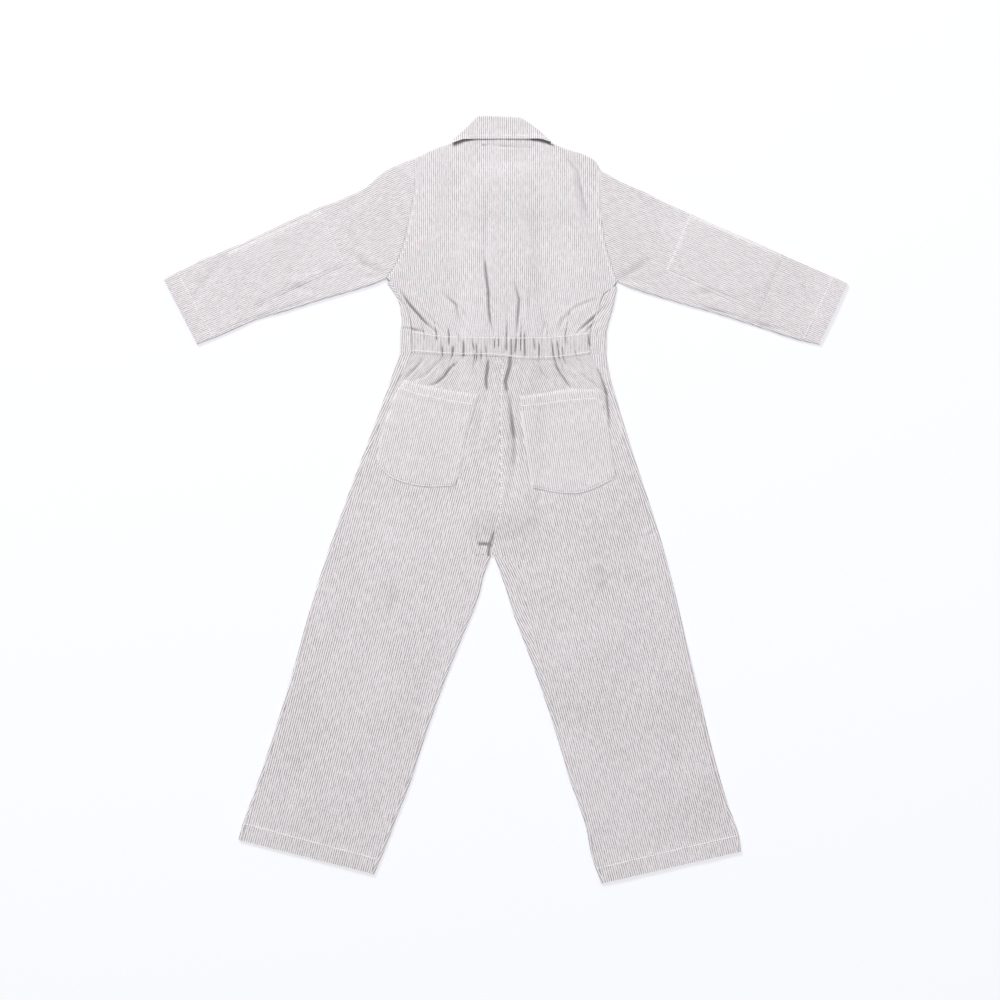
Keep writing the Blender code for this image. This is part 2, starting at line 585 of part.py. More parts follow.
def leg(name):
    """Front and back of one leg."""
    side = SIDES[name]
    hand, floor = side["hand"], side["floor"]
    outside, inside, lip_out, lip_in = leg_lines(name)
    extra = np.zeros(len(outside))
    extra[-2:] = HEM_EXTRA
    rise_h = np.array(RISE_ROWS, float)
    centre = np.interp(rise_h, *np.array(CENTRE_SEAM[::-1], float)[:, ::-1].T)

    outside[0, 1] -= SEAM / 2
    in_out, in_in = inwards(outside, -hand), inwards(inside, hand)
    in_out[0] = (hand, 0)
    line_out, roll_out = outline_roll(outside, in_out, floor, extra)
    line_in, roll_in = outline_roll(inside, in_in, floor, extra[-LEG_ROWS:])
    lip_out[0] = abs(side["band_seam"] - line_out[0, 0])
    seam_out = line_out + in_out * lip_out[:, None]
    seam_in = line_in + in_in * lip_in[:, None]

    front_x = centre - hand * SEAM / 2
    front_x[:FLY_ROWS] = side["centre"]
    front_in = np.vstack([np.stack([front_x, rise_h], axis=1), line_in])
    front_in[0, 1] = np.interp(side["centre"], *np.asarray(BAND_BOTTOM, float).T) - SEAM / 2
    wall = Wall()
    wall.grid(lower_layer(between(line_out, front_in, 6), floor, extra[:, None]))
    wall.grid(roll_out)
    wall.grid(upper_layer(between(line_out, seam_out), extra=extra[:, None]))
    wall.grid(roll_in)
    wall.grid(upper_layer(between(line_in, seam_in), extra=extra[-LEG_ROWS:, None]))
    wall.build("leg_front_" + name)

    back_out = seam_out + SEAM * in_out
    back_in = np.vstack([np.stack([centre - hand * SEAM / 2, rise_h], axis=1), seam_in + SEAM * in_in])
    x = evenly(BAND_BOTTOM, FINE + 1)[:, 0]
    wave = gather_wave()
    fine = slice(0, HALF_FINE + 1) if name == "left" else slice(HALF_FINE, None)
    top = band_rows(BAND_BOTTOM, x[fine], -SEAM / 2)
    wave = wave[fine]
    borders = [back_out, back_in]
    if name == "right":
        borders.reverse()
    top[-1 if name == "left" else 0, 0] -= hand * SEAM / 2
    for border, end in zip(borders, (0, -1)):
        border[0] = top[end]
    bottom = evenly([borders[0][-1], borders[1][-1]], len(top))
    plan = coons(top, bottom, *borders)
    fade = np.zeros(len(plan))
    fade[:3] = (1.0, 0.75, 0.35)
    outer, inner = upper_layer(plan, fade[:, None] * wave, extra[:, None])
    wall = Wall()
    rows = wall.grid((outer[3:, COARSE], inner[3:, COARSE]))
    fine_rows = wall.grid((outer[:3], inner[:3]))
    wall.faces += fan(rows[0], fine_rows[-1])
    wall.build("leg_back_" + name)


def pocket(name):
    table = SIDES[name]["pocket"]
    left, right = along(table["outer"], POCKET_ROWS), along(table["inner"], POCKET_ROWS)
    top, bottom = (evenly(table[key], POCKET_COLUMNS) for key in ("top", "bottom"))
    extra = np.zeros(len(POCKET_ROWS))
    extra[:2] = HEM_EXTRA
    wall = Wall()
    wall.grid(laid_on(coons(top, bottom, left, right), POCKET_LIFT, extra[:, None]))
    return wall.build("pocket_" + name)


# ---- collar and front closing -----------------------------------------------------------------------
def collar_piece(name, stations, fall_z, stand_z, arc=5):
    """Fall and stand of the collar, folded along the roll line; one row for each station."""
    table = np.array(stations, float)
    roll, fall, stand, flare = table[:, 0:2], table[:, 2:4], table[:, 4:6], table[:, 6]
    side = np.sign(stand_z - fall_z)
    middle, reach = (fall_z + stand_z) / 2, abs(stand_z - fall_z) / 2
    to_roll = (roll - fall) / np.linalg.norm(roll - fall, axis=1)[:, None]
    angle = np.linspace(0, math.pi, arc)
    walls = []
    for thick in (0.0, CLOTH):
        radius = reach - thick
        columns = [(fall, fall_z + side * thick - side * flare)]
        for a in angle:
            spot = roll + to_roll * (radius * math.sin(a) - reach)
            columns.append((spot, np.full(len(table), middle - side * radius * math.cos(a))))
        columns.append((stand, np.full(len(table), stand_z - side * thick)))
        plan = np.stack([spot for spot, _ in columns], axis=1)
        walls.append(solid(plan, np.stack([z for _, z in columns], axis=1)))
    wall = Wall()
    wall.grid(walls)
    return wall.build(name)


def button_band():
    """Band on the left front; a few rows over each button let it rise there."""
    heights = [BAND_TOP_H]
    for h in BUTTON_HEIGHTS:
        heights += [h + BUTTON_FAR, h + BUTTON_NEAR, h - BUTTON_NEAR, h - BUTTON_FAR]
    heights.append(BAND_BOTTOM_H + SEAM)
    offsets = np.multiply(BAND_COLUMNS, BAND_WIDTH)
    plan = np.array([[(CENTRE_X + dx, h) for dx in offsets] for h in heights], float)
    wall = Wall()
    wall.grid(lower_layer(plan, button_floor))
    return wall.build("button_band")


def button(number, h):
    work = bmesh.new()
    bmesh.ops.create_cone(work, cap_ends=True, segments=16, radius1=BUTTON_RADIUS * MM,
                          radius2=BUTTON_RADIUS * MM, depth=BUTTON_THICK * MM)
    centre = (CENTRE_X * MM, (h - LENGTH / 2) * MM, BUTTON_THICK / 2 * MM)
    bmesh.ops.translate(work, verts=work.verts[:], vec=centre)
    name = "button_%d" % number
    mesh = bpy.data.meshes.new(name)
    work.to_mesh(mesh)
    work.free()
    return add_object(name, mesh, BUTTON_COLOUR, roughness=0.45)


def main():
    for old in list(bpy.data.objects):
        bpy.data.objects.remove(old, do_unlink=True)
    back_bodice()
    waistband_back()
    collar_piece("collar_back", COLLAR_BACK, COLLAR_FALL_Z, COLLAR_STAND_Z)
    for name, side in SIDES.items():
        front_bodice(name)
        waistband_front(name)
        sleeve(name)
        elbow_patch(name)
        leg(name)
        pocket(name)
        collar_piece("collar_front_" + name, side["leaf"], 0.0, LEAF_STAND_Z)
    button_band()
    for number, h in enumerate(BUTTON_HEIGHTS, start=1):
        button(number, h)


main()
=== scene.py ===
"""Child's striped coverall, laid flat with its back up: cloth, stitching, buttons, light and camera.

Lengths in the tables are millimetres. x runs to the viewer's right, h is the height up the garment above
the lowest hem corner, z stands up from the surface that the garment lies on.
"""
import logging
import math
from dataclasses import dataclass, field
from enum import Enum
from typing import Callable, Dict, List, Sequence, Tuple

import bmesh
import bpy
import numpy as np
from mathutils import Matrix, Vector


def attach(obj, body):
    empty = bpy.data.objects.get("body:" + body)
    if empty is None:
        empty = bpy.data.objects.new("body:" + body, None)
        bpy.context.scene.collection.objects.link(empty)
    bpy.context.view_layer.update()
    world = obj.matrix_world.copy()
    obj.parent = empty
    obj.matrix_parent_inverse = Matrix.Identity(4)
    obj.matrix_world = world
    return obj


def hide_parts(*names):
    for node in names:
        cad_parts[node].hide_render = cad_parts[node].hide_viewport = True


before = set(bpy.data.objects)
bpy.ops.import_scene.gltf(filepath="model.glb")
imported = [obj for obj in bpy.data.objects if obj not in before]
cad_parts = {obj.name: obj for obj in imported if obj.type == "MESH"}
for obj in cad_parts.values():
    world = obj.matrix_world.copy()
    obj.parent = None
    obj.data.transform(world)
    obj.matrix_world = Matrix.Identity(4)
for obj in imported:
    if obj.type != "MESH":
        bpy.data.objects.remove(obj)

log = logging.getLogger("coverall")
Array = np.ndarray
HeightField = Callable[[Array, Array], Array]

MM = 0.001
LENGTH = 1075.0
CLOTH = 1.3
SEAM = 0.05
EDGE = 2.5
TOP = 2 * EDGE
HEM_DEPTH = 25.0
HEM_EXTRA = 0.6
HEM_STITCH_INSET = 2.0
CENTRE_X = -8.0
BAND_WIDTH = 30.0
BAND_TOP_H = 978.0
BAND_BOTTOM_H = 524.3
UNDERLAP = 12.0
CELLS = 28              # the back's columns are counted in cells, the same for bodice, band and legs
CELL_COLUMNS = 9
SHOULDER_LEFT_CELLS, NECK_CELLS, SHOULDER_RIGHT_CELLS = 5, 14, 9
BUTTON_HEIGHTS = (950.0, 889.0, 828.0, 756.0, 694.0, 632.0, 570.0)
NECK_X = -5.5
ROLL_STEPS = 13         # points round a rolled edge
LIP_STEPS = 5           # columns across a lip
SMOOTH_UP_TO = 62.0     # degrees between two faces that are shaded as one


class Hand(Enum):
    """The two sides of the garment, as the viewer sees them; the value points towards the middle."""

    LEFT = 1
    RIGHT = -1


# ---- outlines and seams, (x, h) --------------------------------------------------------------------
WAIST_TOP = [(-131, 776), (-96, 770), (-50, 768), (-8, 767), (76, 769), (118, 774)]
WAIST_LOW = [(-131, 744), (-92, 741), (-8, 738), (20, 735), (62, 735), (118, 742)]
NECK = [(-76, 1034.6), (-70, 1038.6), (-59, 1043.4), (-37, 1045), (-6, 1046), (22, 1045), (48, 1043.6),
        (59, 1039.8), (65, 1035.8)]
CENTRE_SEAM = [(-6.5, 738), (-8, 671), (-8, 566), (-10, 510), (-18, 459)]


@dataclass(frozen=True)
class Pattern:
    """Outlines, seams and grain of one side of the garment.

    Lips are (share of the leg's length, width): how far the front rolls on to the back at a seam.
    """

    hand: Hand
    armhole: Sequence
    side: Sequence
    side_seam: Sequence
    shoulder: Sequence
    throat: Sequence
    sleeve_top: Sequence
    sleeve_low: Sequence
    sleeve_turn: float
    elbow: Dict[str, Tuple[float, float]]
    leg_out: Sequence
    leg_in: Sequence
    leg_turn: float
    crotch: float
    lip_out: Sequence
    lip_in: Sequence
    pocket: Dict[str, Sequence]
    pocket_turn: float
    leaf: Sequence
    centre: float
    band_end: Sequence
    band_seam: float

    @property
    def name(self) -> str:
        """The side's word in piece names."""
        return self.hand.name.lower()


LEFT = Pattern(
    hand=Hand.LEFT,
    armhole=[(-127, 1014), (-127, 993), (-128, 972), (-132, 949), (-136, 930), (-140, 910), (-146, 889),
             (-154, 870), (-167, 849)],
    side=[(-166, 841), (-159, 831), (-151, 818), (-147, 801), (-146, 783), (-147, 776)],
    side_seam=[(-160, 843), (-149, 820), (-137, 804), (-133, 787), (-131.6, 776)],
    shoulder=[(-126.8, 1016.5), (-106, 1026), (-92, 1032), (-78, 1036.5)],
    throat=[(-83, 1028), (-70, 1013), (-57, 999), (-42, 985)],
    sleeve_top=[(-127, 1017), (-148, 1009), (-176, 993), (-190, 980), (-204, 971), (-260, 948),
                (-316, 923), (-372, 896), (-422, 876), (-479, 847)],
    sleeve_low=[(-168, 845), (-198, 835), (-260, 817), (-307, 802), (-348, 790), (-372, 780),
                (-414, 762), (-432, 755)],
    sleeve_turn=-65.4,
    elbow=dict(near_top=(-257.7, 943), near_low=(-223, 867), far_top=(-390.5, 883), far_low=(-355, 805)),
    leg_out=[(-148, 744), (-156, 720), (-170, 680), (-190, 626), (-218, 552), (-246, 473),
             (-271, 395), (-303, 280), (-332, 188), (-354, 123), (-368, 85), (-374, 62)],
    leg_in=[(-20, 459), (-30, 433), (-36, 408), (-64, 337), (-89, 273), (-114, 202), (-135, 137),
            (-153, 91), (-172, 41), (-184, 13)],
    leg_turn=-14.5,
    crotch=0.405,
    lip_out=[(0.0, 15.0), (0.06, 8.0), (0.12, 4.0), (0.4, 3.0), (1.0, 2.0)],
    lip_in=[(0.0, 3.0), (1.0, 2.0)],
    pocket=dict(top=[(-141, 706), (-121, 700), (-82, 692), (-38, 685)],
                bottom=[(-181, 590), (-162, 569), (-136, 559), (-110, 555), (-71, 556)],
                left=[(-141, 706), (-152, 692), (-164, 661), (-176, 624), (-181, 590)],
                right=[(-38, 685), (-47, 650), (-54, 622), (-62, 580), (-71, 556)]),
    pocket_turn=-13.6,
    leaf=[(-73, 1033, -95, 1010, -82, 1028.6, 0), (-61, 1022, -92, 994, -69.4, 1013.6, 0),
          (-48, 1008, -85, 977, -56.4, 999.6, 0), (-33, 993, -72, 963, -41.4, 985.6, 0)],
    centre=CENTRE_X - BAND_WIDTH / 2 - SEAM,
    band_end=[(-147, 776), (-148, 744)],
    band_seam=-131.6)

RIGHT = Pattern(
    hand=Hand.RIGHT,
    armhole=[(135, 995), (134, 977), (132, 958), (134, 935), (137, 914), (141, 893), (146, 876),
             (151, 860), (157, 845)],
    side=[(156.5, 836), (154, 822), (150, 804), (145, 787), (142, 774)],
    side_seam=[(151, 836), (138, 826), (131, 806), (122, 785), (118.6, 774)],
    shoulder=[(134.8, 997.5), (124, 1014), (111, 1021), (83, 1030), (67, 1037)],
    throat=[(72, 1028), (59, 1013), (46, 999), (31, 985)],
    sleeve_top=[(136, 998), (160, 985), (188, 972), (244, 945), (300, 920), (356, 896), (412, 871),
                (468, 846), (479, 841)],
    sleeve_low=[(157, 841), (188, 830), (244, 813), (300, 797), (356, 779), (416, 760), (440, 755)],
    sleeve_turn=66.8,
    elbow=dict(near_top=(256.8, 938), near_low=(223, 858), far_top=(389, 880), far_low=(355, 800)),
    leg_out=[(141, 742), (146, 713), (158, 671), (177, 608), (200, 538), (215, 491), (236, 413),
             (254, 337), (271, 266), (293, 176), (310, 116), (328, 63), (330, 45)],
    leg_in=[(-16, 459), (-2, 420), (10, 381), (32, 323), (50, 273), (71, 209), (89, 148), (111, 84),
            (123, 31), (134, 0)],
    leg_turn=14.5,
    crotch=0.385,
    lip_out=[(0.0, 20.0), (0.05, 6.0), (0.12, 4.0), (0.4, 3.0), (1.0, 2.0)],
    lip_in=[(0.0, 3.0), (0.05, 26.0), (0.11, 23.0), (0.25, 13.0), (0.4, 6.0), (0.55, 3.0), (1.0, 2.0)],
    pocket=dict(top=[(20, 683), (50, 687), (80, 692), (128, 693)],
                bottom=[(37, 554), (79, 546), (104, 546), (128, 554), (155, 568)],
                left=[(20, 683), (22, 650), (26, 622), (30, 591), (37, 554)],
                right=[(128, 693), (136, 671), (146, 632), (152, 590), (155, 568)]),
    pocket_turn=8.8,
    leaf=[(62, 1033, 84, 1010, 71, 1028.6, 0), (50, 1022, 81, 994, 58.4, 1013.6, 0),
          (37, 1008, 74, 977, 45.4, 999.6, 0), (22, 993, 61, 963, 30.4, 985.6, 0)],
    centre=CENTRE_X - UNDERLAP,
    band_end=[(142, 774), (141, 742)],
    band_seam=118.6)

COLLAR = [  # roll_x, roll_h, fall_x, fall_h, stand_x, stand_h, flare of the fall's edge
    (-73, 1042, -76, 1036, -75, 1035.8, 5.4), (-58, 1056, -60, 1042, -59, 1044.2, 2.8),
    (-38, 1075, -42, 1043, -38, 1045.6, 0.6), (-8, 1074.5, -8, 1043, -8, 1046.6, 0.3),
    (22, 1073, 26, 1043, 22, 1045.8, 0.6), (47, 1055, 49, 1043, 47, 1044.4, 2.8),
    (62, 1041, 66, 1037, 64, 1037, 5.4)]


CREASE_END = 0.004      # share of a crease's length that keeps the depth of its end
RIDGE_AT, RIDGE_WIDTH, RIDGE_FADE = 1.9, 1.3, 1.5   # of a crease's ridge, in half widths of its trough


@dataclass(frozen=True)
class Crease:
    """A crease of the cloth: a trough along a line, with a soft ridge beside it.

    Attributes:
        line: points (x, h) along the crease.
        width: half width of the trough.
        depth: depth of the trough; a negative depth makes a ridge.
        ridge: height of the ridge beside it.
        beside: which side the ridge is on, +1 to the right of the line's direction.
    """

    line: Sequence[Tuple[float, float]]
    width: float
    depth: float
    ridge: float = 0.0
    beside: int = 1

    def height(self, x: Array, h: Array) -> Array:
        """Height that the crease adds.

        The distance to each stretch of the line is signed, and the nearest stretch counts. Depth swells
        from nothing at one end to full in the middle and back, as the root of a half sine.

        Args:
            x: places across the garment.
            h: places up the garment.

        Returns:
            The added height at each place.
        """
        points = np.asarray(self.line, float)
        steps = np.diff(points, axis=0)
        lengths = np.hypot(*steps.T)
        before = np.r_[0.0, np.cumsum(lengths)]
        nearest = np.full(np.shape(x), 1e6)
        signed = np.zeros(np.shape(x))
        share = np.zeros(np.shape(x))
        for start, step, length, run in zip(points, steps, lengths, before):
            t = np.clip(((x - start[0]) * step[0] + (h - start[1]) * step[1]) / length ** 2, 0, 1)
            dx, dh = x - start[0] - t * step[0], h - start[1] - t * step[1]
            away = np.hypot(dx, dh)
            side = np.where(dx * step[1] - dh * step[0] > 0, away, -away)
            closer = away < nearest
            nearest = np.where(closer, away, nearest)
            signed = np.where(closer, side, signed)
            share = np.where(closer, (run + t * length) / before[-1], share)
        swell = np.sqrt(np.sin(math.pi * np.clip(share, CREASE_END, 1 - CREASE_END)))
        trough = np.exp(-(nearest / self.width) ** 2)
        bank = np.exp(-((signed * self.beside - RIDGE_AT * self.width) / (RIDGE_WIDTH * self.width)) ** 2)
        bank *= np.exp(-((nearest - RIDGE_AT * self.width) / (RIDGE_FADE * self.width)) ** 2)
        return swell * (self.ridge * bank - self.depth * trough)


BACK_CREASES = [
    # bodice: the deep middle fold, folds running down to the waist, and folds over the right shoulder
    Crease([(-26, 986), (-25, 902), (-30, 876), (-27, 852)], 5, 1.0, 0.7),
    Crease([(-29, 878), (-27, 852), (-24, 831), (-23, 803), (-21, 787), (-15, 769)], 1.9, 4.6, 1.0),
    Crease([(10, 853), (19, 818), (17, 790), (16, 770)], 2.2, 2.6, 0.9),
    Crease([(-150, 834), (-134, 811), (-113, 787), (-94, 770)], 1.9, 3.4, 1.0, -1),
    Crease([(-92, 829), (-69, 811), (-65, 790), (-62, 769)], 2.2, 2.0, 0.8, -1),
    Crease([(-66, 812), (-50, 783)], 1.8, 1.8, 0.6, -1),
    Crease([(146, 812), (128, 797), (111, 782), (98, 769)], 1.8, 3.0, 0.9),
    Crease([(127, 819), (97, 806), (80, 790), (72, 769)], 2.4, 1.4, 0.7),
    Crease([(131, 790), (118, 779), (111, 770)], 1.7, 2.2, 0.6),
    Crease([(36, 840), (34, 800), (38, 772)], 3, 1.2, 0.6),
    Crease([(-112, 800), (-84, 768)], 1.7, 1.8, 0.6, -1),
    Crease([(48, 806), (56, 786), (52, 768)], 1.8, 1.6, 0.6),
    Crease([(-148, 777.5), (-131, 777), (-110, 773)], 1.5, 2.4),
    Crease([(116, 772), (117, 758), (122, 746), (131, 737)], 1.7, 3.4, 0.8),
    Crease([(-51, 1037), (-30, 1034), (-8, 1033), (24, 1032.5), (46, 1032)], 1.0, 2.3),
    Crease([(-80, 1033.9), (-76, 1035.9), (-68, 1038.9), (-59, 1042.3), (-44, 1045)], 2.5, 6.0),
    Crease([(34, 1045), (48, 1042.3), (57, 1039.3), (65, 1036.5), (69, 1034.7)], 2.5, 6.0),
    Crease([(-110, 862), (-96, 830)], 6, 0.8, 0.5),
    Crease([(78, 1030), (88, 1012), (101, 998), (108, 958), (122, 916)], 5, 1.9, 1.2),
    Crease([(-112, 1010), (-116, 960), (-124, 900)], 9, 0.9, 0.3),
    Crease([(-60, 1000), (-64, 940), (-58, 890)], 12, 0.7),
    Crease([(40, 1000), (48, 940), (44, 880)], 14, 0.7),
    # seat: folds below the waistband, and the deep one beside the centre seam
    Crease([(-111, 738), (-134, 714), (-146, 702)], 2.0, 2.6, 0.9, -1),
    Crease([(-65, 731), (-76, 724), (-86, 710), (-97, 701), (-109, 698)], 1.9, 4.0, 1.0, -1),
    Crease([(-90, 734), (-112, 712), (-128, 704)], 1.8, 2.2, 0.8, -1),
    Crease([(-24, 735), (-25.5, 718), (-27, 706), (-26, 690)], 1.9, 5.4, 0.8, -1),
    Crease([(-26, 692), (-33, 650), (-40, 616)], 5, 1.6, 0.6, -1),
    Crease([(6, 738), (6, 724), (0, 703), (2, 690)], 2.0, 5.6, 0.9),
    Crease([(-1, 700), (6, 676), (9, 650), (12, 622)], 3.4, 2.8, 1.0),
    Crease([(8, 660), (12, 622), (11, 566), (6, 536)], 6.0, 1.9, 1.2),
    Crease([(45, 734), (52, 715), (62, 704)], 1.8, 2.6, 0.8),
    Crease([(65, 733), (87, 700), (96, 690)], 2.0, 2.2, 0.8),
    Crease([(82, 733), (118, 703), (146, 684)], 2.2, 2.0, 0.8),
    Crease([(-150, 724), (-162, 701), (-172, 672)], 2.0, 2.4, 0.8),
    Crease([(-143, 716), (-158, 690)], 1.8, 1.8, 0.6),
    Crease([(121, 741), (130, 720), (141, 689), (147, 634)], 1.9, 2.8, 0.8, -1),
    Crease([(-48, 676), (-54, 640), (-62, 604)], 3.0, 1.6, 0.8, -1),
    Crease([(17, 676), (20, 640), (26, 600)], 3.0, 1.4, 0.7),
    Crease([(-39, 475.5), (-29, 475.5), (-16, 473)], 1.9, 4.4),
    Crease([(-15, 494), (-20, 480), (-23, 468), (-24, 455)], 1.9, 4.4, 0.8, -1),
    Crease([(-44, 500), (-36, 474), (-28, 452)], 2.4, 1.4, 0.7),
    Crease([(212, 497), (204, 490), (196, 486)], 3.0, 1.2, 0.8),
    # legs: long soft bends
    Crease([(-120, 520), (-150, 430), (-196, 300), (-232, 190)], 16, 1.0, 0.6),
    Crease([(-60, 380), (-104, 300), (-150, 180), (-196, 70)], 14, 0.9, 0.5, -1),
    Crease([(-200, 420), (-238, 330), (-268, 250)], 11, 0.8, 0.5),
    Crease([(-250, 230), (-290, 150), (-330, 80)], 12, 0.8, 0.4, -1),
    Crease([(110, 520), (140, 430), (182, 300), (216, 170)], 16, 1.0, 0.6, -1),
    Crease([(40, 380), (84, 290), (130, 180), (172, 60)], 14, 0.9, 0.5),
    Crease([(190, 420), (222, 320), (246, 240)], 11, 0.8, 0.5, -1),
    Crease([(230, 210), (262, 130), (290, 70)], 12, 0.8, 0.4),
    # sleeves: bends at the elbow, pulls from the underarm and along the upper edge
    Crease([(-176, 985), (-214, 952), (-238, 930)], 8, 1.0, 0.6),
    Crease([(-166, 852), (-196, 868), (-216, 884)], 5, 1.5, 0.9),
    Crease([(-162, 848), (-186, 850), (-208, 846)], 4, 1.2, 0.7, -1),
    Crease([(-258, 826), (-296, 836), (-330, 822)], 5, 1.1, 0.7),
    Crease([(-396, 870), (-420, 846), (-440, 806)], 7, 0.9, 0.5),
    Crease([(-230, 860), (-260, 856), (-300, 846), (-352, 800)], 3.2, 1.2, 0.7, -1),
    Crease([(-400, 773), (-372, 785), (-307, 807), (-262, 822)], 1.5, 1.8),
    Crease([(238, 820), (300, 802), (356, 785), (418, 765)], 1.5, 1.8),
    Crease([(172, 972), (208, 942), (236, 918)], 8, 1.0, 0.6, -1),
    Crease([(156, 848), (184, 862), (206, 876)], 5, 1.5, 0.9, -1),
    Crease([(154, 845), (176, 846), (200, 840)], 4, 1.2, 0.7),
    Crease([(250, 822), (290, 830), (326, 816)], 5, 1.1, 0.7, -1),
    Crease([(392, 866), (414, 842), (434, 804)], 7, 0.9, 0.5, -1),
]

FRONT_CREASES = [  # hidden side: shallow troughs up into the cloth, which rests flat between them
    Crease([(-96, 960), (-92, 880), (-98, 800)], 9, -0.9),
    Crease([(70, 950), (66, 880), (72, 800)], 9, -0.8),
    Crease([(-130, 700), (-150, 620), (-178, 540)], 8, -0.9),
    Crease([(110, 700), (130, 610), (160, 520)], 8, -0.9),
    Crease([(-90, 470), (-130, 350), (-180, 200)], 12, -0.8),
    Crease([(80, 470), (120, 340), (170, 190)], 12, -0.8),
    Crease([(-220, 930), (-300, 880), (-380, 830)], 7, -0.8),
    Crease([(215, 925), (300, 870), (372, 830)], 7, -0.8),
    Crease([(-60, 734), (-70, 700), (-88, 670)], 5, -0.8),
    Crease([(48, 730), (58, 700), (72, 670)], 5, -0.8),
]


# ---- curves and patches ----------------------------------------------------------------------------
def running(line: Sequence) -> Tuple[Array, Array]:
    """A table's points as an array, and the running length at each of them."""
    points = np.asarray(line, float)
    return points, np.r_[0.0, np.cumsum(np.hypot(*np.diff(points, axis=0).T))]


def run_length(line: Sequence) -> float:
    """Length of the straight stretches between a table's points."""
    return float(np.hypot(*np.diff(np.asarray(line, float), axis=0).T).sum())


def cubic(t: Array, size: Array, values: Array, slopes: Array, cell: Array) -> Array:
    """Cubic through table values with given slopes, at shares t of the cells, each of the given size."""
    return ((2 * t ** 3 - 3 * t ** 2 + 1) * values[cell] + (t ** 3 - 2 * t ** 2 + t) * size * slopes[cell]
            + (3 * t ** 2 - 2 * t ** 3) * values[cell + 1] + (t ** 3 - t ** 2) * size * slopes[cell + 1])


def along(line: Sequence, shares: Sequence[float]) -> Array:
    """Points on a smooth curve through a table of points.

    Each stretch is the cubic that has the table's points at its ends and the mean slope of its neighbours
    there, measured over the running length.

    Args:
        line: rows (x, h).
        shares: shares of the running length, 0 to 1.

    Returns:
        One row (x, h) for each share.
    """
    points, run = running(line)
    slope = np.gradient(points, run, axis=0) if len(points) > 2 else np.repeat(
        (points[1:] - points[:1]) / run[-1], 2, axis=0)
    spot = np.clip(np.asarray(shares, float), 0, 1) * run[-1]
    cell = np.clip(np.searchsorted(run, spot, side="right") - 1, 0, len(run) - 2)
    size = (run[cell + 1] - run[cell])[:, None]
    return cubic((spot[:, None] - run[cell][:, None]) / size, size, points, slope, cell)


def evenly(line: Sequence, count: int) -> Array:
    """Count points at equal steps along a smooth curve through the table's points."""
    return along(line, np.linspace(0, 1, count))


def straight(line: Sequence, count: int) -> Array:
    """Count points at equal steps along the straight stretches between the table's points."""
    points, run = running(line)
    spots = np.linspace(0, run[-1], count)
    return np.stack([np.interp(spots, run, points[:, i]) for i in (0, 1)], axis=1)


def level(table: Sequence, x: Array) -> Array:
    """Height of a line that runs from left to right, at places x."""
    return np.interp(x, *np.asarray(table, float).T)


def beside_centre_seam(h: Array, hand: int) -> Array:
    """Places x beside the seat's centre seam at heights h, on one hand's side of it."""
    seam = np.array(CENTRE_SEAM[::-1], float)
    return np.interp(h, seam[:, 1], seam[:, 0]) - hand * SEAM / 2


def smooth_step(value: Array) -> Array:
    """Ease from 0 to 1: three times the square less twice the cube."""
    value = np.clip(value, 0.0, 1.0)
    return value * value * (3 - 2 * value)


def eased(value: Array, ramp: Tuple[float, float]) -> Array:
    """Ease from 0 to 1 over a ramp (start, length)."""
    start, length = ramp
    return smooth_step((value - start) / length)


def inwards(line: Array, side: int) -> Array:
    """Unit normals of a line, to its right for side +1 and to its left for -1."""
    step = np.gradient(np.asarray(line, float), axis=0)
    step /= np.linalg.norm(step, axis=1)[:, None]
    return side * np.stack([step[:, 1], -step[:, 0]], axis=1)


def coons(top: Array, bottom: Array, left: Array, right: Array, down: Array = None,
          over: Array = None) -> Array:
    """Grid that blends four border lines.

    A point is the blend of the left and right lines, plus the blend of the top and bottom lines, less the
    blend of the four corners.

    Args:
        top: first row, from left to right.
        bottom: last row, from left to right.
        left: first column, from top to bottom.
        right: last column, from top to bottom.
        down: shares of the rows, by default even.
        over: shares of the columns, by default even.

    Returns:
        Array of rows, columns and (x, h).
    """
    v = (np.linspace(0, 1, len(left)) if down is None else down)[:, None, None]
    u = (np.linspace(0, 1, len(top)) if over is None else over)[None, :, None]
    sides = (1 - u) * left[:, None] + u * right[:, None]
    ends = (1 - v) * top[None] + v * bottom[None]
    corners = ((1 - u) * (1 - v) * left[0] + u * (1 - v) * right[0]
               + (1 - u) * v * left[-1] + u * v * right[-1])
    return sides + ends - corners


def between(first: Array, second: Array, count: int) -> Array:
    """Grid of count columns between two lines of equal length."""
    share = np.linspace(0, 1, count)[None, :, None]
    return np.asarray(first)[:, None] * (1 - share) + np.asarray(second)[:, None] * share


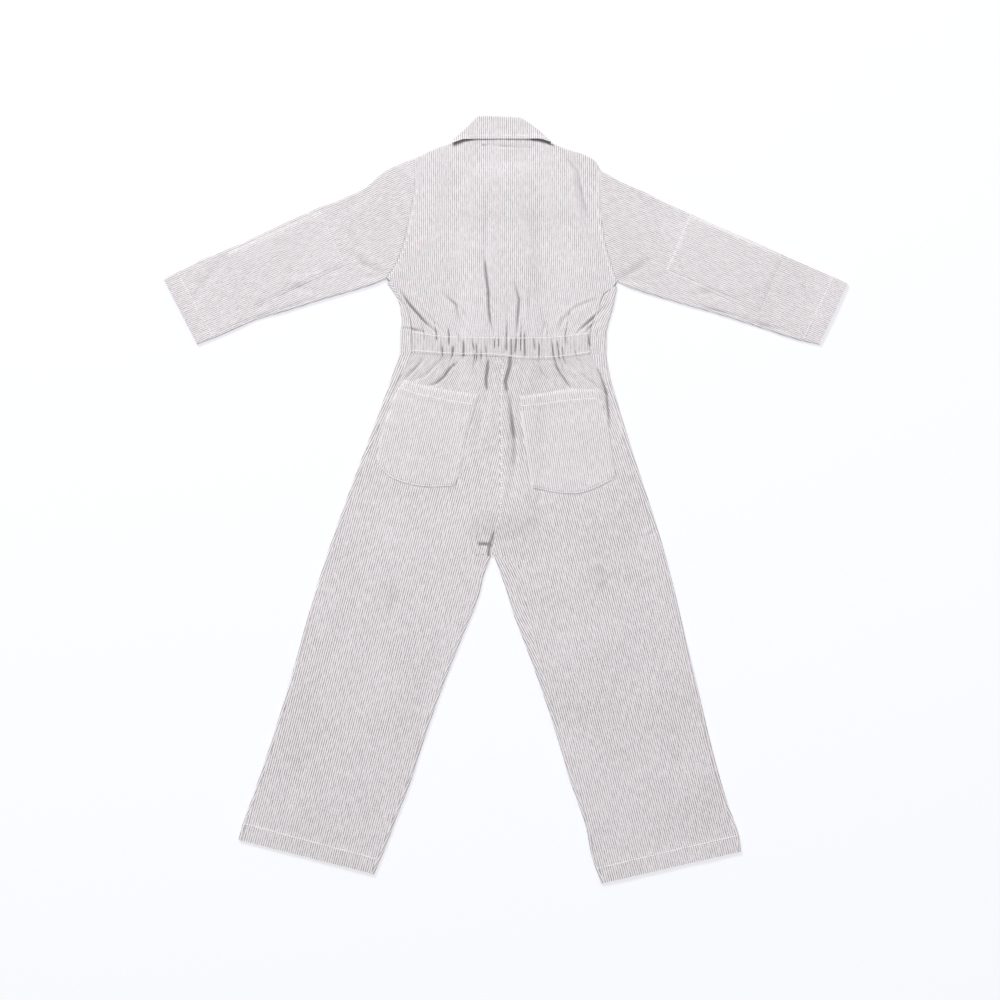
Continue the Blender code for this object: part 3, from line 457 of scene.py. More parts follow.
# ---- heights of the two layers ---------------------------------------------------------------------
@dataclass(frozen=True)
class Gathers:
    """The elastic's gathers: narrow valleys between rounded crests, dying out above and below the band.

    Attributes:
        count: number of gathers from seam to seam.
        left, right: the band's ends.
        depth: depth of a full valley.
        valley: its half width, as a share of the gathers' pitch.
        fan_above, fan_below: how much the gathers spread for each millimetre away from the band.
        sooner_below: how much sooner they die out below the band than above it.
        smooth_ends, ends_fade: gathers without depth at each end, and those over which it grows.
        seed: of the random numbers.
    """

    count: int = 40
    left: float = WAIST_TOP[0][0]
    right: float = WAIST_TOP[-1][0]
    depth: float = 3.8
    valley: float = 0.12
    fan_above: float = 0.0022
    fan_below: float = 0.0045
    sooner_below: float = 1.25
    smooth_ends: float = 1.2
    ends_fade: float = 3.2
    seed: int = 11

    def uneven(self, low: float, high: float, key: int) -> Tuple[Array, Array]:
        """Places and values of a random number for each gather, for interpolation."""
        dice = np.random.default_rng(self.seed + key)
        return np.arange(self.count + 1), dice.uniform(low, high, self.count + 1)

    def height(self, x: Array, h: Array) -> Array:
        """Height of the gathers over the waist.

        The phase counts gathers from the left side seam and fans out away from the band. A valley lies
        half way between two whole phases, shifted and slanted a little from one to the next. Down the
        band its depth swells round a middle of its own, and beyond the band it fades over a length that
        differs from gather to gather.

        Args:
            x: places across the garment.
            h: places up the garment.

        Returns:
            The added height, at most zero.
        """
        top, low = level(WAIST_TOP, x), level(WAIST_LOW, x)
        above, below = np.maximum(h - top, 0), np.maximum(low - h, 0)
        middle = (self.left + self.right) / 2
        fan = 1 + self.fan_above * above + self.fan_below * below
        phase = ((x - middle) / fan - (self.left - middle)) / (self.right - self.left) * self.count
        shift = np.interp(phase, *self.uneven(-0.22, 0.22, 1))
        lean = np.interp(phase, *self.uneven(-0.75, 0.35, 4))
        within = np.clip((top - h) / np.maximum(top - low, 1), 0, 1)
        place = phase + shift + lean * within
        to_valley = np.mod(place, 1.0) - 0.5
        number = np.clip(np.floor(place).astype(int), 0, self.count)
        depth = self.depth * self.uneven(0.25, 1.3, 2)[1][number]
        middle_at, spread = self.uneven(0.0, 1.0, 5)[1][number], self.uneven(0.22, 0.6, 6)[1][number]
        depth = depth * np.exp(-((within - middle_at) / spread) ** 4)
        reach = self.uneven(2.0, 5.2, 3)[1][number] ** 2
        fade = np.exp(-((above + self.sooner_below * below) / reach) ** 1.3)
        from_end = np.minimum(phase, self.count - phase)
        ends = smooth_step((from_end - self.smooth_ends) / self.ends_fade)
        return -depth * fade * ends * np.exp(-(to_valley / self.valley) ** 2)


def ripple(x: Array, h: Array, waves: int = 6, shortest: float = 34, longest: float = 120,
           height: float = 0.2, seed: int = 5) -> Array:
    """Soft unevenness of worn cotton: a sum of waves of seeded length and direction."""
    dice = np.random.default_rng(seed)
    total = np.zeros(np.shape(x))
    for _ in range(waves):
        wave = dice.uniform(shortest, longest)
        turn, phase = dice.uniform(0, math.pi), dice.uniform(0, 2 * math.pi)
        total += np.sin((x * math.cos(turn) + h * math.sin(turn)) * 2 * math.pi / wave + phase)
    return height * total


@dataclass(frozen=True)
class Layers:
    """Heights of the cloth: the back layer's outside, and the fronts' underside.

    Attributes:
        rise: how much the back rises over the front closing.
        neck: how much both layers rise over the collar's leaves.
        fullness: how much air lifts the back layer between its folds.
        deepest: how far below its plain height a fold may reach, just clear of the fronts inside.
        over_band, over_button: how much the right front rises over the band, and the band over a button.
        leaves_beside, leaves_low: ramps (start, length) of the rise over the leaves, from the neck's
            middle and up the garment.
        closing_beside, closing_low, closing_high: ramps of the rise over the closing, from its middle,
            its lower and its upper end.
        band_beside, band_low: ramps of the right front's rise over the band.
        around_button: ramp of the band's rise over a button.
    """

    rise: float = 4.0
    neck: float = 1.8
    fullness: float = 0.9
    deepest: float = 2.1
    over_band: float = 4.2
    over_button: float = 1.9
    leaves_beside: Tuple[float, float] = (98, 28)
    leaves_low: Tuple[float, float] = (922, 24)
    closing_beside: Tuple[float, float] = (36, 26)
    closing_low: Tuple[float, float] = (-45, 40)
    closing_high: Tuple[float, float] = (7, 30)
    band_beside: Tuple[float, float] = (30, 24)
    band_low: Tuple[float, float] = (-16, 15)
    around_button: Tuple[float, float] = (10, 15)
    gathers: Gathers = field(default_factory=Gathers)

    def neck_lift(self, x: Array, h: Array) -> Array:
        """Rise of both layers over the collar's front leaves."""
        beside = 1 - eased(np.abs(x - NECK_X), self.leaves_beside)
        return self.neck * beside * eased(h, self.leaves_low)

    def plain(self, x: Array, h: Array) -> Array:
        """Outside of the back layer without folds: it rises over the hidden front closing."""
        low_end = eased(h - BAND_BOTTOM_H, self.closing_low)
        high_end = 1 - eased(h - BAND_TOP_H, self.closing_high)
        beside = 1 - eased(np.abs(x - CENTRE_X), self.closing_beside)
        return TOP + self.rise * beside * low_end * high_end + self.neck_lift(x, h)

    def back(self, x: Array, h: Array) -> Array:
        """Outside of the back layer with its creases, gathers and unevenness."""
        total = self.plain(x, h) + self.fullness + self.gathers.height(x, h) + ripple(x, h)
        for crease in BACK_CREASES:
            total = total + crease.height(x, h)
        return np.maximum(total, self.plain(x, h) - self.deepest)

    def hem(self, x: Array, h: Array) -> Array:
        """Outside of the back layer where a hem is turned up."""
        return self.back(x, h) + HEM_EXTRA

    def hollow(self, x: Array, h: Array, height: Array) -> Array:
        """How deep in a fold the cloth lies: from 0 near its plain height to 1 at the deepest."""
        return smooth_step((self.plain(x, h) - height - 0.1) / (self.deepest - 0.1))

    def smooth_back(self, x: Array, h: Array) -> Array:
        """Highest points of the back layer within 6 mm, for a piece stitched on it."""
        around = [(0, 0), (6, 0), (-6, 0), (0, 6), (0, -6), (3, 3), (-3, 3), (3, -3), (-3, -3)]
        return np.max([self.back(x + dx, h + dh) for dx, dh in around], axis=0)

    def under(self, hand: Hand) -> HeightField:
        """Underside of the front on one side."""
        return self.floor if hand is Hand.LEFT else self.right_floor

    def floor(self, x: Array, h: Array) -> Array:
        """Underside of the fronts: flat on the ground, but for shallow troughs."""
        total = self.neck_lift(x, h)
        for crease in FRONT_CREASES:
            total = total + crease.height(x, h)
        return np.maximum(total, 0.0)

    def right_floor(self, x: Array, h: Array) -> Array:
        """Underside of the right front, which rises over the button band."""
        beside = 1 - eased(x - CENTRE_X, self.band_beside)
        above = eased(h - BAND_BOTTOM_H, self.band_low)
        return np.maximum(self.floor(x, h), self.over_band * beside * above)

    def button_floor(self, x: Array, h: Array) -> Array:
        """Underside of the button band, which rises over each button."""
        lift = np.zeros(np.shape(x))
        for button_h in BUTTON_HEIGHTS:
            away = np.hypot(x - CENTRE_X, h - button_h)
            lift = np.maximum(lift, self.over_button * (1 - eased(away, self.around_button)))
        return lift


LAYERS = Layers()


# ---- grain of the cloth ----------------------------------------------------------------------------
@dataclass(frozen=True)
class Grain:
    """Direction and closeness of the stripes on a piece.

    Attributes:
        turn: degrees that the stripes lean to the right as they go down.
        close: how much closer than 3 mm they lie.
        fan: how much they crowd where the cloth is gathered.
        fan_h: height of the gathered edge.
        fan_reach: distance over which the crowding fades.
    """

    turn: float = 0.0
    close: float = 1.0
    fan: float = 0.0
    fan_h: float = 0.0
    fan_reach: float = 45.0

    def chart(self, x: Array, h: Array) -> Array:
        """Place on the cloth, (across, along) the stripes in metres, of each place on the garment."""
        a = math.radians(self.turn)
        crowd = self.fan * (x + 6) * np.exp(-np.abs(h - self.fan_h) / self.fan_reach)
        across = (x * math.cos(a) + h * math.sin(a)) * self.close + crowd
        down = -x * math.sin(a) + h * math.cos(a)
        return np.stack([across, down], axis=-1) * MM


BODY_GRAIN = Grain(0.0, 1.03)


# ---- walls of cloth --------------------------------------------------------------------------------
@dataclass(frozen=True)
class Cut:
    """Flat size of a piece as cut, in millimetres, the share of that rectangle which it fills, and what
    it lies on."""

    width: float
    length: float
    fill: float
    rests_on: Tuple[str, ...] = ()
    held: str = "laid"

    def declare(self, obj: bpy.types.Object) -> None:
        """Make the names of the cloths that the piece rests on, which nothing uses."""
        [name + "_cloth" for name in self.rests_on]


FRONTS = ("front_bodice_left", "front_bodice_right")
CUTS: Dict[str, Cut] = {
    "back_bodice": Cut(340, 285, 0.78, FRONTS),
    "front_bodice_left": Cut(150, 275, 0.74, ("button_band",)),
    "front_bodice_right": Cut(180, 275, 0.82, ("button_band",)),
    "waistband_back": Cut(300, 36, 0.98, ("waistband_front_left", "waistband_front_right"), "gathered"),
    "waistband_front_left": Cut(140, 34, 0.98),
    "waistband_front_right": Cut(180, 34, 0.98),
    "sleeve_left": Cut(320, 380, 0.69),
    "sleeve_right": Cut(308, 372, 0.71),
    "elbow_patch_left": Cut(86, 147, 0.98, ("sleeve_left",)),
    "elbow_patch_right": Cut(87, 147, 0.98, ("sleeve_right",)),
    "leg_back_left": Cut(235, 750, 0.80, ("leg_front_left",)),
    "leg_back_right": Cut(238, 755, 0.79, ("leg_front_right",)),
    "leg_front_left": Cut(265, 750, 0.77),
    "leg_front_right": Cut(280, 755, 0.78),
    "pocket_left": Cut(125, 148, 0.88, ("leg_back_left",)),
    "pocket_right": Cut(127, 148, 0.89, ("leg_back_right",)),
    "collar_back": Cut(148, 66, 0.66, ("back_bodice",), "folded"),
    "collar_front_left": Cut(72, 50, 0.86, (), "folded"),
    "collar_front_right": Cut(72, 50, 0.86, (), "folded"),
    "button_band": Cut(31, 456, 0.99),
}


@dataclass
class Sheet:
    """One stretch of a cloth wall: its outer and inner points, their places on the cloth's chart, and how
    deep in a fold they lie, or None for smooth cloth. That depth sets the painted shade in the colour; a
    collar's stand is given the full painted shade though it lies in no fold."""

    outer: Array
    inner: Array
    chart: Array
    hollow: Array = None

    @classmethod
    def of(cls, outer: Array, inner: Array, grain: Grain, hollow: Array = None) -> "Sheet":
        """Stretch whose chart follows a grain over its outer points."""
        return cls(outer, inner, grain.chart(outer[..., 0], outer[..., 1]), hollow)


def lay(plan: Array, height: Array) -> Array:
    """Points (x, h, z) from a plan grid and its heights."""
    return np.dstack([plan[..., 0], plan[..., 1], height])


def upper(plan: Array, grain: Grain, extra: Array = 0.0) -> Sheet:
    """Stretch of the back layer, whose outside is up."""
    x, h = plan[..., 0], plan[..., 1]
    height = LAYERS.back(x, h)
    return Sheet.of(lay(plan, height + extra), lay(plan, height - CLOTH), grain, LAYERS.hollow(x, h, height))


def lower(plan: Array, grain: Grain, floor: HeightField, extra: Array = 0.0) -> Sheet:
    """Stretch of the front layer, whose outside is down."""
    height = floor(plan[..., 0], plan[..., 1])
    return Sheet.of(lay(plan, height), lay(plan, height + CLOTH + extra), grain)


def half_round(line: Array, outward: Array, floor: HeightField, extra: Array) -> List[Array]:
    """Outer and inner points of the half circle that joins the two layers.

    Args:
        line: plan line where the roll starts, a row for each point.
        outward: unit normals pointing out of the garment.
        floor: underside of the front.
        extra: added thickness at each row.

    Returns:
        Two arrays, a row for each point of the line.
    """
    low, high = floor(*line.T), LAYERS.back(*line.T) + extra
    middle, reach = ((low + high) / 2)[:, None], ((high - low) / 2)[:, None]
    angle = np.linspace(0, math.pi, ROLL_STEPS)[None, :]
    parts = []
    for thick in (0.0, CLOTH):
        plan = line[:, None] + outward[:, None] * ((EDGE - thick) * np.sin(angle))[..., None]
        rise = reach - (thick + extra[:, None] if thick else 0.0)
        parts.append(lay(plan, middle - rise * np.cos(angle)))
    return parts


def rolled(line: Array, outward: Array, floor: HeightField, grain: Grain, lip: Array, extra: Array) -> Sheet:
    """Rolled edge and lip: the front goes round in a half circle and lies on top as far as the seam.

    Args:
        line: plan line where the roll starts, a row for each point.
        outward: unit normals pointing out of the garment.
        floor: underside of the front.
        grain: the front's grain, mirrored past the edge because the cloth has turned over.
        lip: width of the lip at each row.
        extra: added thickness at each row.

    Returns:
        The stretch, a row for each point of the line.
    """
    outer, inner = half_round(line, outward, floor, extra)
    lip_at = (lip[:, None] * np.linspace(0, 1, LIP_STEPS + 1)[1:])[..., None]
    lip_plan = line[:, None] - outward[:, None] * lip_at
    lip_z = LAYERS.back(lip_plan[..., 0], lip_plan[..., 1])
    outer = np.concatenate([outer, lay(lip_plan, lip_z + extra[:, None])], axis=1)
    inner = np.concatenate([inner, lay(lip_plan, lip_z - CLOTH)], axis=1)
    edge = grain.chart(*(line + outward * EDGE).T)[:, None]
    stretch = Sheet.of(outer, inner, grain)
    turned = np.arange(outer.shape[1]) > (ROLL_STEPS - 1) / 2
    across = stretch.chart[..., 0]
    stretch.chart[..., 0] = np.where(turned, 2 * edge[..., 0] - across, across)
    return stretch


class ClothWall:
    """A closed wall of cloth, put together from stretches that share their border points."""

    def __init__(self, name: str, finish: "StripedCotton", *sheets: Sheet) -> None:
        """Start a wall that stands for the solid of the same name."""
        self.name, self.finish, self.sheets = name, finish, list(sheets)

    def build(self) -> bpy.types.Object:
        """Weld the stretches, close the wall along its free borders and make the object.

        Outer points that agree to a hundredth of a millimetre are one point. An edge used by one face
        only is a free border, and a face joins it to the same edge of the inner side.

        Returns:
            The wall's object, riding on the garment's one body.
        """
        outer = np.concatenate([s.outer.reshape(-1, 3) for s in self.sheets])
        inner = np.concatenate([s.inner.reshape(-1, 3) for s in self.sheets])
        chart = np.concatenate([s.chart.reshape(-1, 2) for s in self.sheets])
        hollow = np.concatenate([np.zeros(s.outer[..., 0].size) if s.hollow is None else s.hollow.ravel()
                                 for s in self.sheets])
        _, first, back = np.unique(np.round(outer * 100).astype(np.int64), axis=0,
                                   return_index=True, return_inverse=True)
        back = back.reshape(-1)  # some versions of numpy give the places back as a column
        quads, start = [], 0
        for sheet in self.sheets:
            rows, columns = sheet.outer.shape[:2]
            number = start + np.arange(rows * columns).reshape(rows, columns)
            quads.append(np.stack([number[:-1, :-1], number[:-1, 1:], number[1:, 1:], number[1:, :-1]],
                                  axis=-1).reshape(-1, 4))
            start += rows * columns
        quads = back[np.concatenate(quads)]
        edges = np.stack([quads, np.roll(quads, -1, axis=1)], axis=-1).reshape(-1, 2)
        key = np.sort(edges, axis=1)
        _, where, uses = np.unique(key, axis=0, return_index=True, return_counts=True)
        rim = edges[where[uses == 1]]
        count = len(first)
        edge_faces = np.stack([rim[:, 1], rim[:, 0], rim[:, 0] + count, rim[:, 1] + count], axis=1)
        faces = np.concatenate([quads, quads[:, ::-1] + count, edge_faces])
        points = np.concatenate([outer[first], inner[first]])
        points[:, 1] -= LENGTH / 2
        chart = np.tile(chart[first], (2, 1))
        obj = object_from(self.name + "_cloth", points * MM, faces, chart)
        fold = obj.data.attributes.new("fold", "FLOAT", "POINT")
        fold.data.foreach_set("value", np.tile(hollow[first], 2).astype(np.float32))
        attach(obj, "root")
        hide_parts(self.name)
        self.finish.dress(obj)
        CUTS[self.name].declare(obj)
        return obj


def object_from(name: str, points: Array, faces: Array, chart: Array = None) -> bpy.types.Object:
    """Mesh object with outward faces, smooth shading and the cloth's chart as its UV map.

    Args:
        name: the object's name.
        points: places in metres.
        faces: point numbers, four to a face.
        chart: place on the cloth of each point, or None.

    Returns:
        The object, in the scene.
    """
    mesh = bpy.data.meshes.new(name)
    mesh.vertices.add(len(points))
    mesh.vertices.foreach_set("co", np.ascontiguousarray(points, dtype=np.float32).ravel())
    mesh.loops.add(faces.size)
    mesh.loops.foreach_set("vertex_index", np.ascontiguousarray(faces, dtype=np.int32).ravel())
    mesh.polygons.add(len(faces))
    mesh.polygons.foreach_set("loop_start", np.arange(0, faces.size, 4, dtype=np.int32))
    mesh.update(calc_edges=True)
    mesh.validate()
    if chart is not None:
        corners = np.empty(len(mesh.loops), dtype=np.int32)
        mesh.loops.foreach_get("vertex_index", corners)
        layer = mesh.uv_layers.new(name="cloth")
        layer.data.foreach_set("uv", np.ascontiguousarray(chart[corners], dtype=np.float32).ravel())
    work = bmesh.new()
    work.from_mesh(mesh)
    bmesh.ops.recalc_face_normals(work, faces=work.faces[:])
    work.to_mesh(mesh)
    work.free()
    mesh.polygons.foreach_set("use_smooth", np.ones(len(mesh.polygons), dtype=bool))
    mesh.set_sharp_from_angle(angle=math.radians(SMOOTH_UP_TO))
    obj = bpy.data.objects.new(name, mesh)
    bpy.context.scene.collection.objects.link(obj)
    return obj


# ---- finishes --------------------------------------------------------------------------------------
class Nodes:
    """Short way of writing a shader: makes nodes and links them in one call."""

    def __init__(self, name: str) -> None:
        """Start a material with its own Principled shader."""
        self.material = bpy.data.materials.new(name)
        self.material.use_nodes = True
        self.tree = self.material.node_tree
        self.shader = self.tree.nodes["Principled BSDF"]

    def put(self, kind: str, inputs: Dict = None, **settings: object) -> bpy.types.Node:
        """Make a node; an input that is a socket is linked, any other value is set."""
        node = self.tree.nodes.new(kind)
        for key, value in settings.items():
            setattr(node, key, value)
        for key, value in (inputs or {}).items():
            if isinstance(value, bpy.types.NodeSocket):
                self.tree.links.new(value, node.inputs[key])
            else:
                node.inputs[key].default_value = value
        return node

    def math(self, operation: str, *values: object) -> bpy.types.NodeSocket:
        """Output of a Math node."""
        return self.put("ShaderNodeMath", dict(enumerate(values)), operation=operation).outputs[0]

    def ease(self, value: bpy.types.NodeSocket, low: float, high: float, to_low: float = 0.0,
             to_high: float = 1.0) -> bpy.types.NodeSocket:
        """Value eased from one range to another."""
        return self.put("ShaderNodeMapRange", {"Value": value, "From Min": low, "From Max": high,
                                               "To Min": to_low, "To Max": to_high},
                        interpolation_type="SMOOTHSTEP").outputs["Result"]

    def blend(self, share: object, first: object, second: object) -> bpy.types.NodeSocket:
        """Colour blended from first to second by a share."""
        return self.put("ShaderNodeMixRGB", {"Fac": share, "Color1": first, "Color2": second}).outputs[0]

    def object_place(self) -> bpy.types.NodeSocket:
        """Place on the object, in metres."""
        return self.put("ShaderNodeTexCoord").outputs["Object"]

    def noise(self, place: bpy.types.NodeSocket, scale: float, detail: float = 2.0) -> bpy.types.NodeSocket:
        """Strength of a noise texture."""
        return self.put("ShaderNodeTexNoise", {"Vector": place, "Scale": scale, "Detail": detail}).outputs[0]

    def product(self, first: object, *others: object) -> bpy.types.NodeSocket:
        """Values multiplied one after the other."""
        for other in others:
            first = self.math("MULTIPLY", first, other)
        return first

    def weighted(self, *terms: Tuple[bpy.types.NodeSocket, float]) -> bpy.types.NodeSocket:
        """Sum of values times their weights."""
        total = self.math("MULTIPLY", *terms[0])
        for term in terms[1:]:
            total = self.math("ADD", total, self.math("MULTIPLY", *term))
        return total

    def tune(self, **inputs: object) -> None:
        """Set inputs of the Principled shader, whose names have spaces for the underscores."""
        for key, value in inputs.items():
            self.shader.inputs[key.replace("_", " ")].default_value = value

    def surface(self, colour: bpy.types.NodeSocket, bump: bpy.types.NodeSocket, depth: float) -> None:
        """Join the colour and the bump to the shader."""
        normal = self.put("ShaderNodeBump", {"Height": bump, "Distance": depth, "Strength": 1.0})
        self.tree.links.new(colour, self.shader.inputs["Base Color"])
        self.tree.links.new(normal.outputs["Normal"], self.shader.inputs["Normal"])


@dataclass(frozen=True)
class Finish:
    """A material that is made when the first piece needs it, and the name of a slot, which nothing here
    uses.
    """

    name: str
    slot: str

    def paint(self, n: Nodes) -> None:
        """Make the material's nodes."""
        raise NotImplementedError

    def dress(self, obj: bpy.types.Object) -> None:
        """Put the material on a piece."""
        material = bpy.data.materials.get(self.name)
        if not material:
            nodes = Nodes(self.name)
            self.paint(nodes)
            material = nodes.material
        obj.data.materials.clear()
        obj.data.materials.append(material)


@dataclass(frozen=True)
class StripedCotton(Finish):
    """Woven cotton with a fine stripe: light ground, narrow broken grey-brown stripes, slubs and fuzz.

    Attributes:
        light, dark: colours of the ground and of the stripe.
        slubbed, clouded, speckled, shaded: colours of thick threads, slow patches, specks and deep folds.
        pitch, duty: metres from stripe to stripe, and the stripe's share of that.
        soft: half width of the stripe's soft edge, as a share of the pitch.
        thread: metres from thread to thread.
        fold: how far the colour goes to the shaded one at the bottom of a fold.
        relief: height of the weave's bump in metres.
    """

    name: str = "striped_cotton"
    slot: str = "striped_cloth"
    light: Tuple[float, float, float] = (0.925, 0.885, 0.90)
    dark: Tuple[float, float, float] = (0.29, 0.26, 0.27)
    slubbed: Tuple[float, float, float] = (0.80, 0.765, 0.775)
    clouded: Tuple[float, float, float] = (0.83, 0.80, 0.79)
    speckled: Tuple[float, float, float] = (0.56, 0.52, 0.53)
    shaded: Tuple[float, float, float] = (0.13, 0.115, 0.12)
    pitch: float = 0.0030
    duty: float = 0.38
    soft: float = 0.09
    thread: float = 0.00062
    fold: float = 0.66
    relief: float = 0.00012

    def paint(self, n: Nodes) -> None:
        """Make the cloth's nodes.

        Across the stripes, the place over the pitch gives a saw whose distance from the stripe's middle is
        eased into a soft-edged stripe. Along it, a fine wave breaks the stripe as the twill does. Slow
        noise varies the ground and the stripe's strength, and the weave's two waves make the bump. The
        colour darkens in the depth of a fold. That shade is painted: the real folds are deeper than the
        room between the layers here.
        """
        chart = n.put("ShaderNodeUVMap", uv_map="cloth").outputs["UV"]
        place = n.object_place()
        axes = n.put("ShaderNodeSeparateXYZ", {"Vector": chart})
        across, down = axes.outputs["X"], axes.outputs["Y"]
        long_slubs = n.put("ShaderNodeMapping", {"Vector": chart, "Scale": (900.0, 90.0, 1.0)}).outputs[0]
        drift, grain, cloud = n.noise(place, 18.0), n.noise(place, 620.0), n.noise(place, 9.0, 4.0)
        slub = n.noise(long_slubs, 1.0)

        saw = n.math("ADD", n.math("DIVIDE", across, self.pitch), n.product(drift, 0.14))
        away = n.math("ABSOLUTE", n.math("SUBTRACT", n.math("FRACT", saw), 0.5))
        stripe = n.ease(away, self.duty / 2 - self.soft, self.duty / 2 + self.soft, 1.0, 0.0)
        turn = 2 * math.pi / self.thread
        weft = n.math("SINE", n.product(down, turn / 2))
        warp = n.math("SINE", n.product(across, turn))
        twill = n.math("SINE", n.product(n.math("ADD", across, down), 2 * math.pi / (2.2 * self.thread)))

        broken = n.product(stripe, n.ease(twill, -1.2, 0.9, 0.42, 1.0), n.ease(slub, 0.28, 0.68, 0.40, 1.2),
                           n.ease(cloud, 0.3, 0.7, 0.82, 1.05))
        ground = n.blend(n.ease(slub, 0.3, 0.75, 0.0, 0.22), (*self.light, 1), (*self.slubbed, 1))
        ground = n.blend(n.ease(cloud, 0.35, 0.7, 0.0, 0.16), ground, (*self.clouded, 1))
        colour = n.blend(broken, ground, (*self.dark, 1))
        colour = n.blend(n.ease(grain, 0.42, 0.66, 0.0, 0.26), colour, (*self.speckled, 1))
        fold = n.put("ShaderNodeAttribute", attribute_name="fold").outputs["Fac"]
        colour = n.blend(n.product(fold, self.fold), colour, (*self.shaded, 1))
        bump = n.weighted((weft, 0.22), (warp, 0.3), (twill, 0.35), (slub, 1.2), (grain, 0.9))
        n.surface(colour, bump, self.relief)
        n.tune(Roughness=0.92, Specular_IOR_Level=0.25, Sheen_Weight=0.12, Sheen_Roughness=0.5)


@dataclass(frozen=True)
class SewingThread(Finish):
    """Off-white cotton thread, twisted: fine oblique ply lines and a little fuzz."""

    name: str = "sewing_thread"
    slot: str = "striped_cloth"
    colour: Tuple[float, float, float] = (0.985, 0.975, 0.965)
    between_plies: Tuple[float, float, float] = (0.90, 0.885, 0.875)

    def paint(self, n: Nodes) -> None:
        """Make the thread's nodes."""
        place = n.object_place()
        ply = n.put("ShaderNodeTexWave", {"Vector": place, "Scale": 900.0, "Distortion": 2.0},
                    wave_type="BANDS", bands_direction="DIAGONAL").outputs["Fac"]
        colour = n.blend(n.ease(ply, 0.0, 1.0, 0.0, 0.3), (*self.colour, 1), (*self.between_plies, 1))
        n.surface(colour, n.math("ADD", ply, n.noise(place, 1500.0)), 0.00004)
        n.tune(Roughness=0.8, Sheen_Weight=0.2)


@dataclass(frozen=True)
class ButtonResin(Finish):
    """Cream resin button: clouded colour, satin gloss."""

    name: str = "button_resin"
    slot: str = "button"
    colour: Tuple[float, float, float] = (0.80, 0.77, 0.70)
    cloud: Tuple[float, float, float] = (0.66, 0.60, 0.50)

    def paint(self, n: Nodes) -> None:
        """Make the resin's nodes."""
        place = n.object_place()
        share = n.ease(n.noise(place, 160.0, 4.0), 0.35, 0.7, 0.0, 0.6)
        n.surface(n.blend(share, (*self.colour, 1), (*self.cloud, 1)), n.noise(place, 2400.0), 0.00002)
        n.tune(Roughness=0.34, Coat_Weight=0.2)


COTTON = StripedCotton()
BAND_COTTON = StripedCotton(name="waistband_cotton", slot="waistband_cloth",
                            light=(0.915, 0.87, 0.88), dark=(0.22, 0.19, 0.20))
LEG_COTTON = StripedCotton(name="leg_cotton", light=(0.92, 0.875, 0.89), dark=(0.15, 0.125, 0.135))
THREAD = SewingThread()
RESIN = ButtonResin()


# ---- stitching -------------------------------------------------------------------------------------
@dataclass
class Stitching:
    """Runs of stitches, gathered into one joined mesh."""

    name: str
    pitch: float = 3.3
    length: float = 2.9
    radius: float = 0.68
    runs: List[Tuple[Array, Array]] = field(default_factory=list)

    def run(self, line: Sequence, height: HeightField, proud: float = 0.12, pitch: float = 0.0) -> None:
        """Add a run of stitches along a line.

        Args:
            line: points (x, h) that the run goes through.
            height: outside of the cloth that it lies on.
            proud: how far the stitches' middles stand above the cloth; below zero on the under side.
            pitch: distance from stitch to stitch, by default the stitching's own.
        """
        pitch = pitch or self.pitch
        count = max(int(run_length(line) / pitch), 1)
        starts = (np.arange(count) + 0.12) / count
        ends = starts + self.length / pitch / count
        first, last = along(line, starts), along(line, np.minimum(ends, 1))
        self.runs.append((np.column_stack([first, height(*first.T) + proud]),
                          np.column_stack([last, height(*last.T) + proud])))

    def build(self) -> bpy.types.Object:
        """Make all stitches at once.

        A stitch is a square-section spindle of four rings: thin at its ends, which dip into the cloth, and
        full in between. Its axes are the run's direction, the level normal to it, and up.

        Returns:
            The joined object.
        """
        first = np.concatenate([a for a, _ in self.runs])
        last = np.concatenate([b for _, b in self.runs])
        axis = last - first
        across = np.stack([-axis[:, 1], axis[:, 0], np.zeros(len(axis))], axis=1)
        across /= np.linalg.norm(across, axis=1)[:, None] + 1e-9
        up = np.cross(axis, across)
        up /= np.linalg.norm(up, axis=1)[:, None] + 1e-9
        places = np.array([0.0, 0.22, 0.78, 1.0])
        swell = np.array([0.45, 1.0, 1.0, 0.45]) * self.radius
        dip = np.array([-0.22, 0.0, 0.0, -0.22])
        turn = np.arange(4) * math.pi / 2
        ring = (across[:, None, None] * (swell[:, None] * np.cos(turn))[None, ..., None]
                + up[:, None, None] * (swell[:, None] * np.sin(turn) + dip[:, None])[None, ..., None])
        points = first[:, None, None] + axis[:, None, None] * places[None, :, None, None] + ring
        points = points.reshape(-1, 3)
        points[:, 1] -= LENGTH / 2
        a = np.array([[r * 4 + s, r * 4 + (s + 1) % 4, (r + 1) * 4 + (s + 1) % 4, (r + 1) * 4 + s]
                      for r in range(3) for s in range(4)] + [[3, 2, 1, 0], [12, 13, 14, 15]])
        faces = (a[None] + 16 * np.arange(len(first))[:, None, None]).reshape(-1, 4)
        obj = object_from(self.name, points * MM, faces)
        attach(obj, "root")
        THREAD.dress(obj)
        return obj


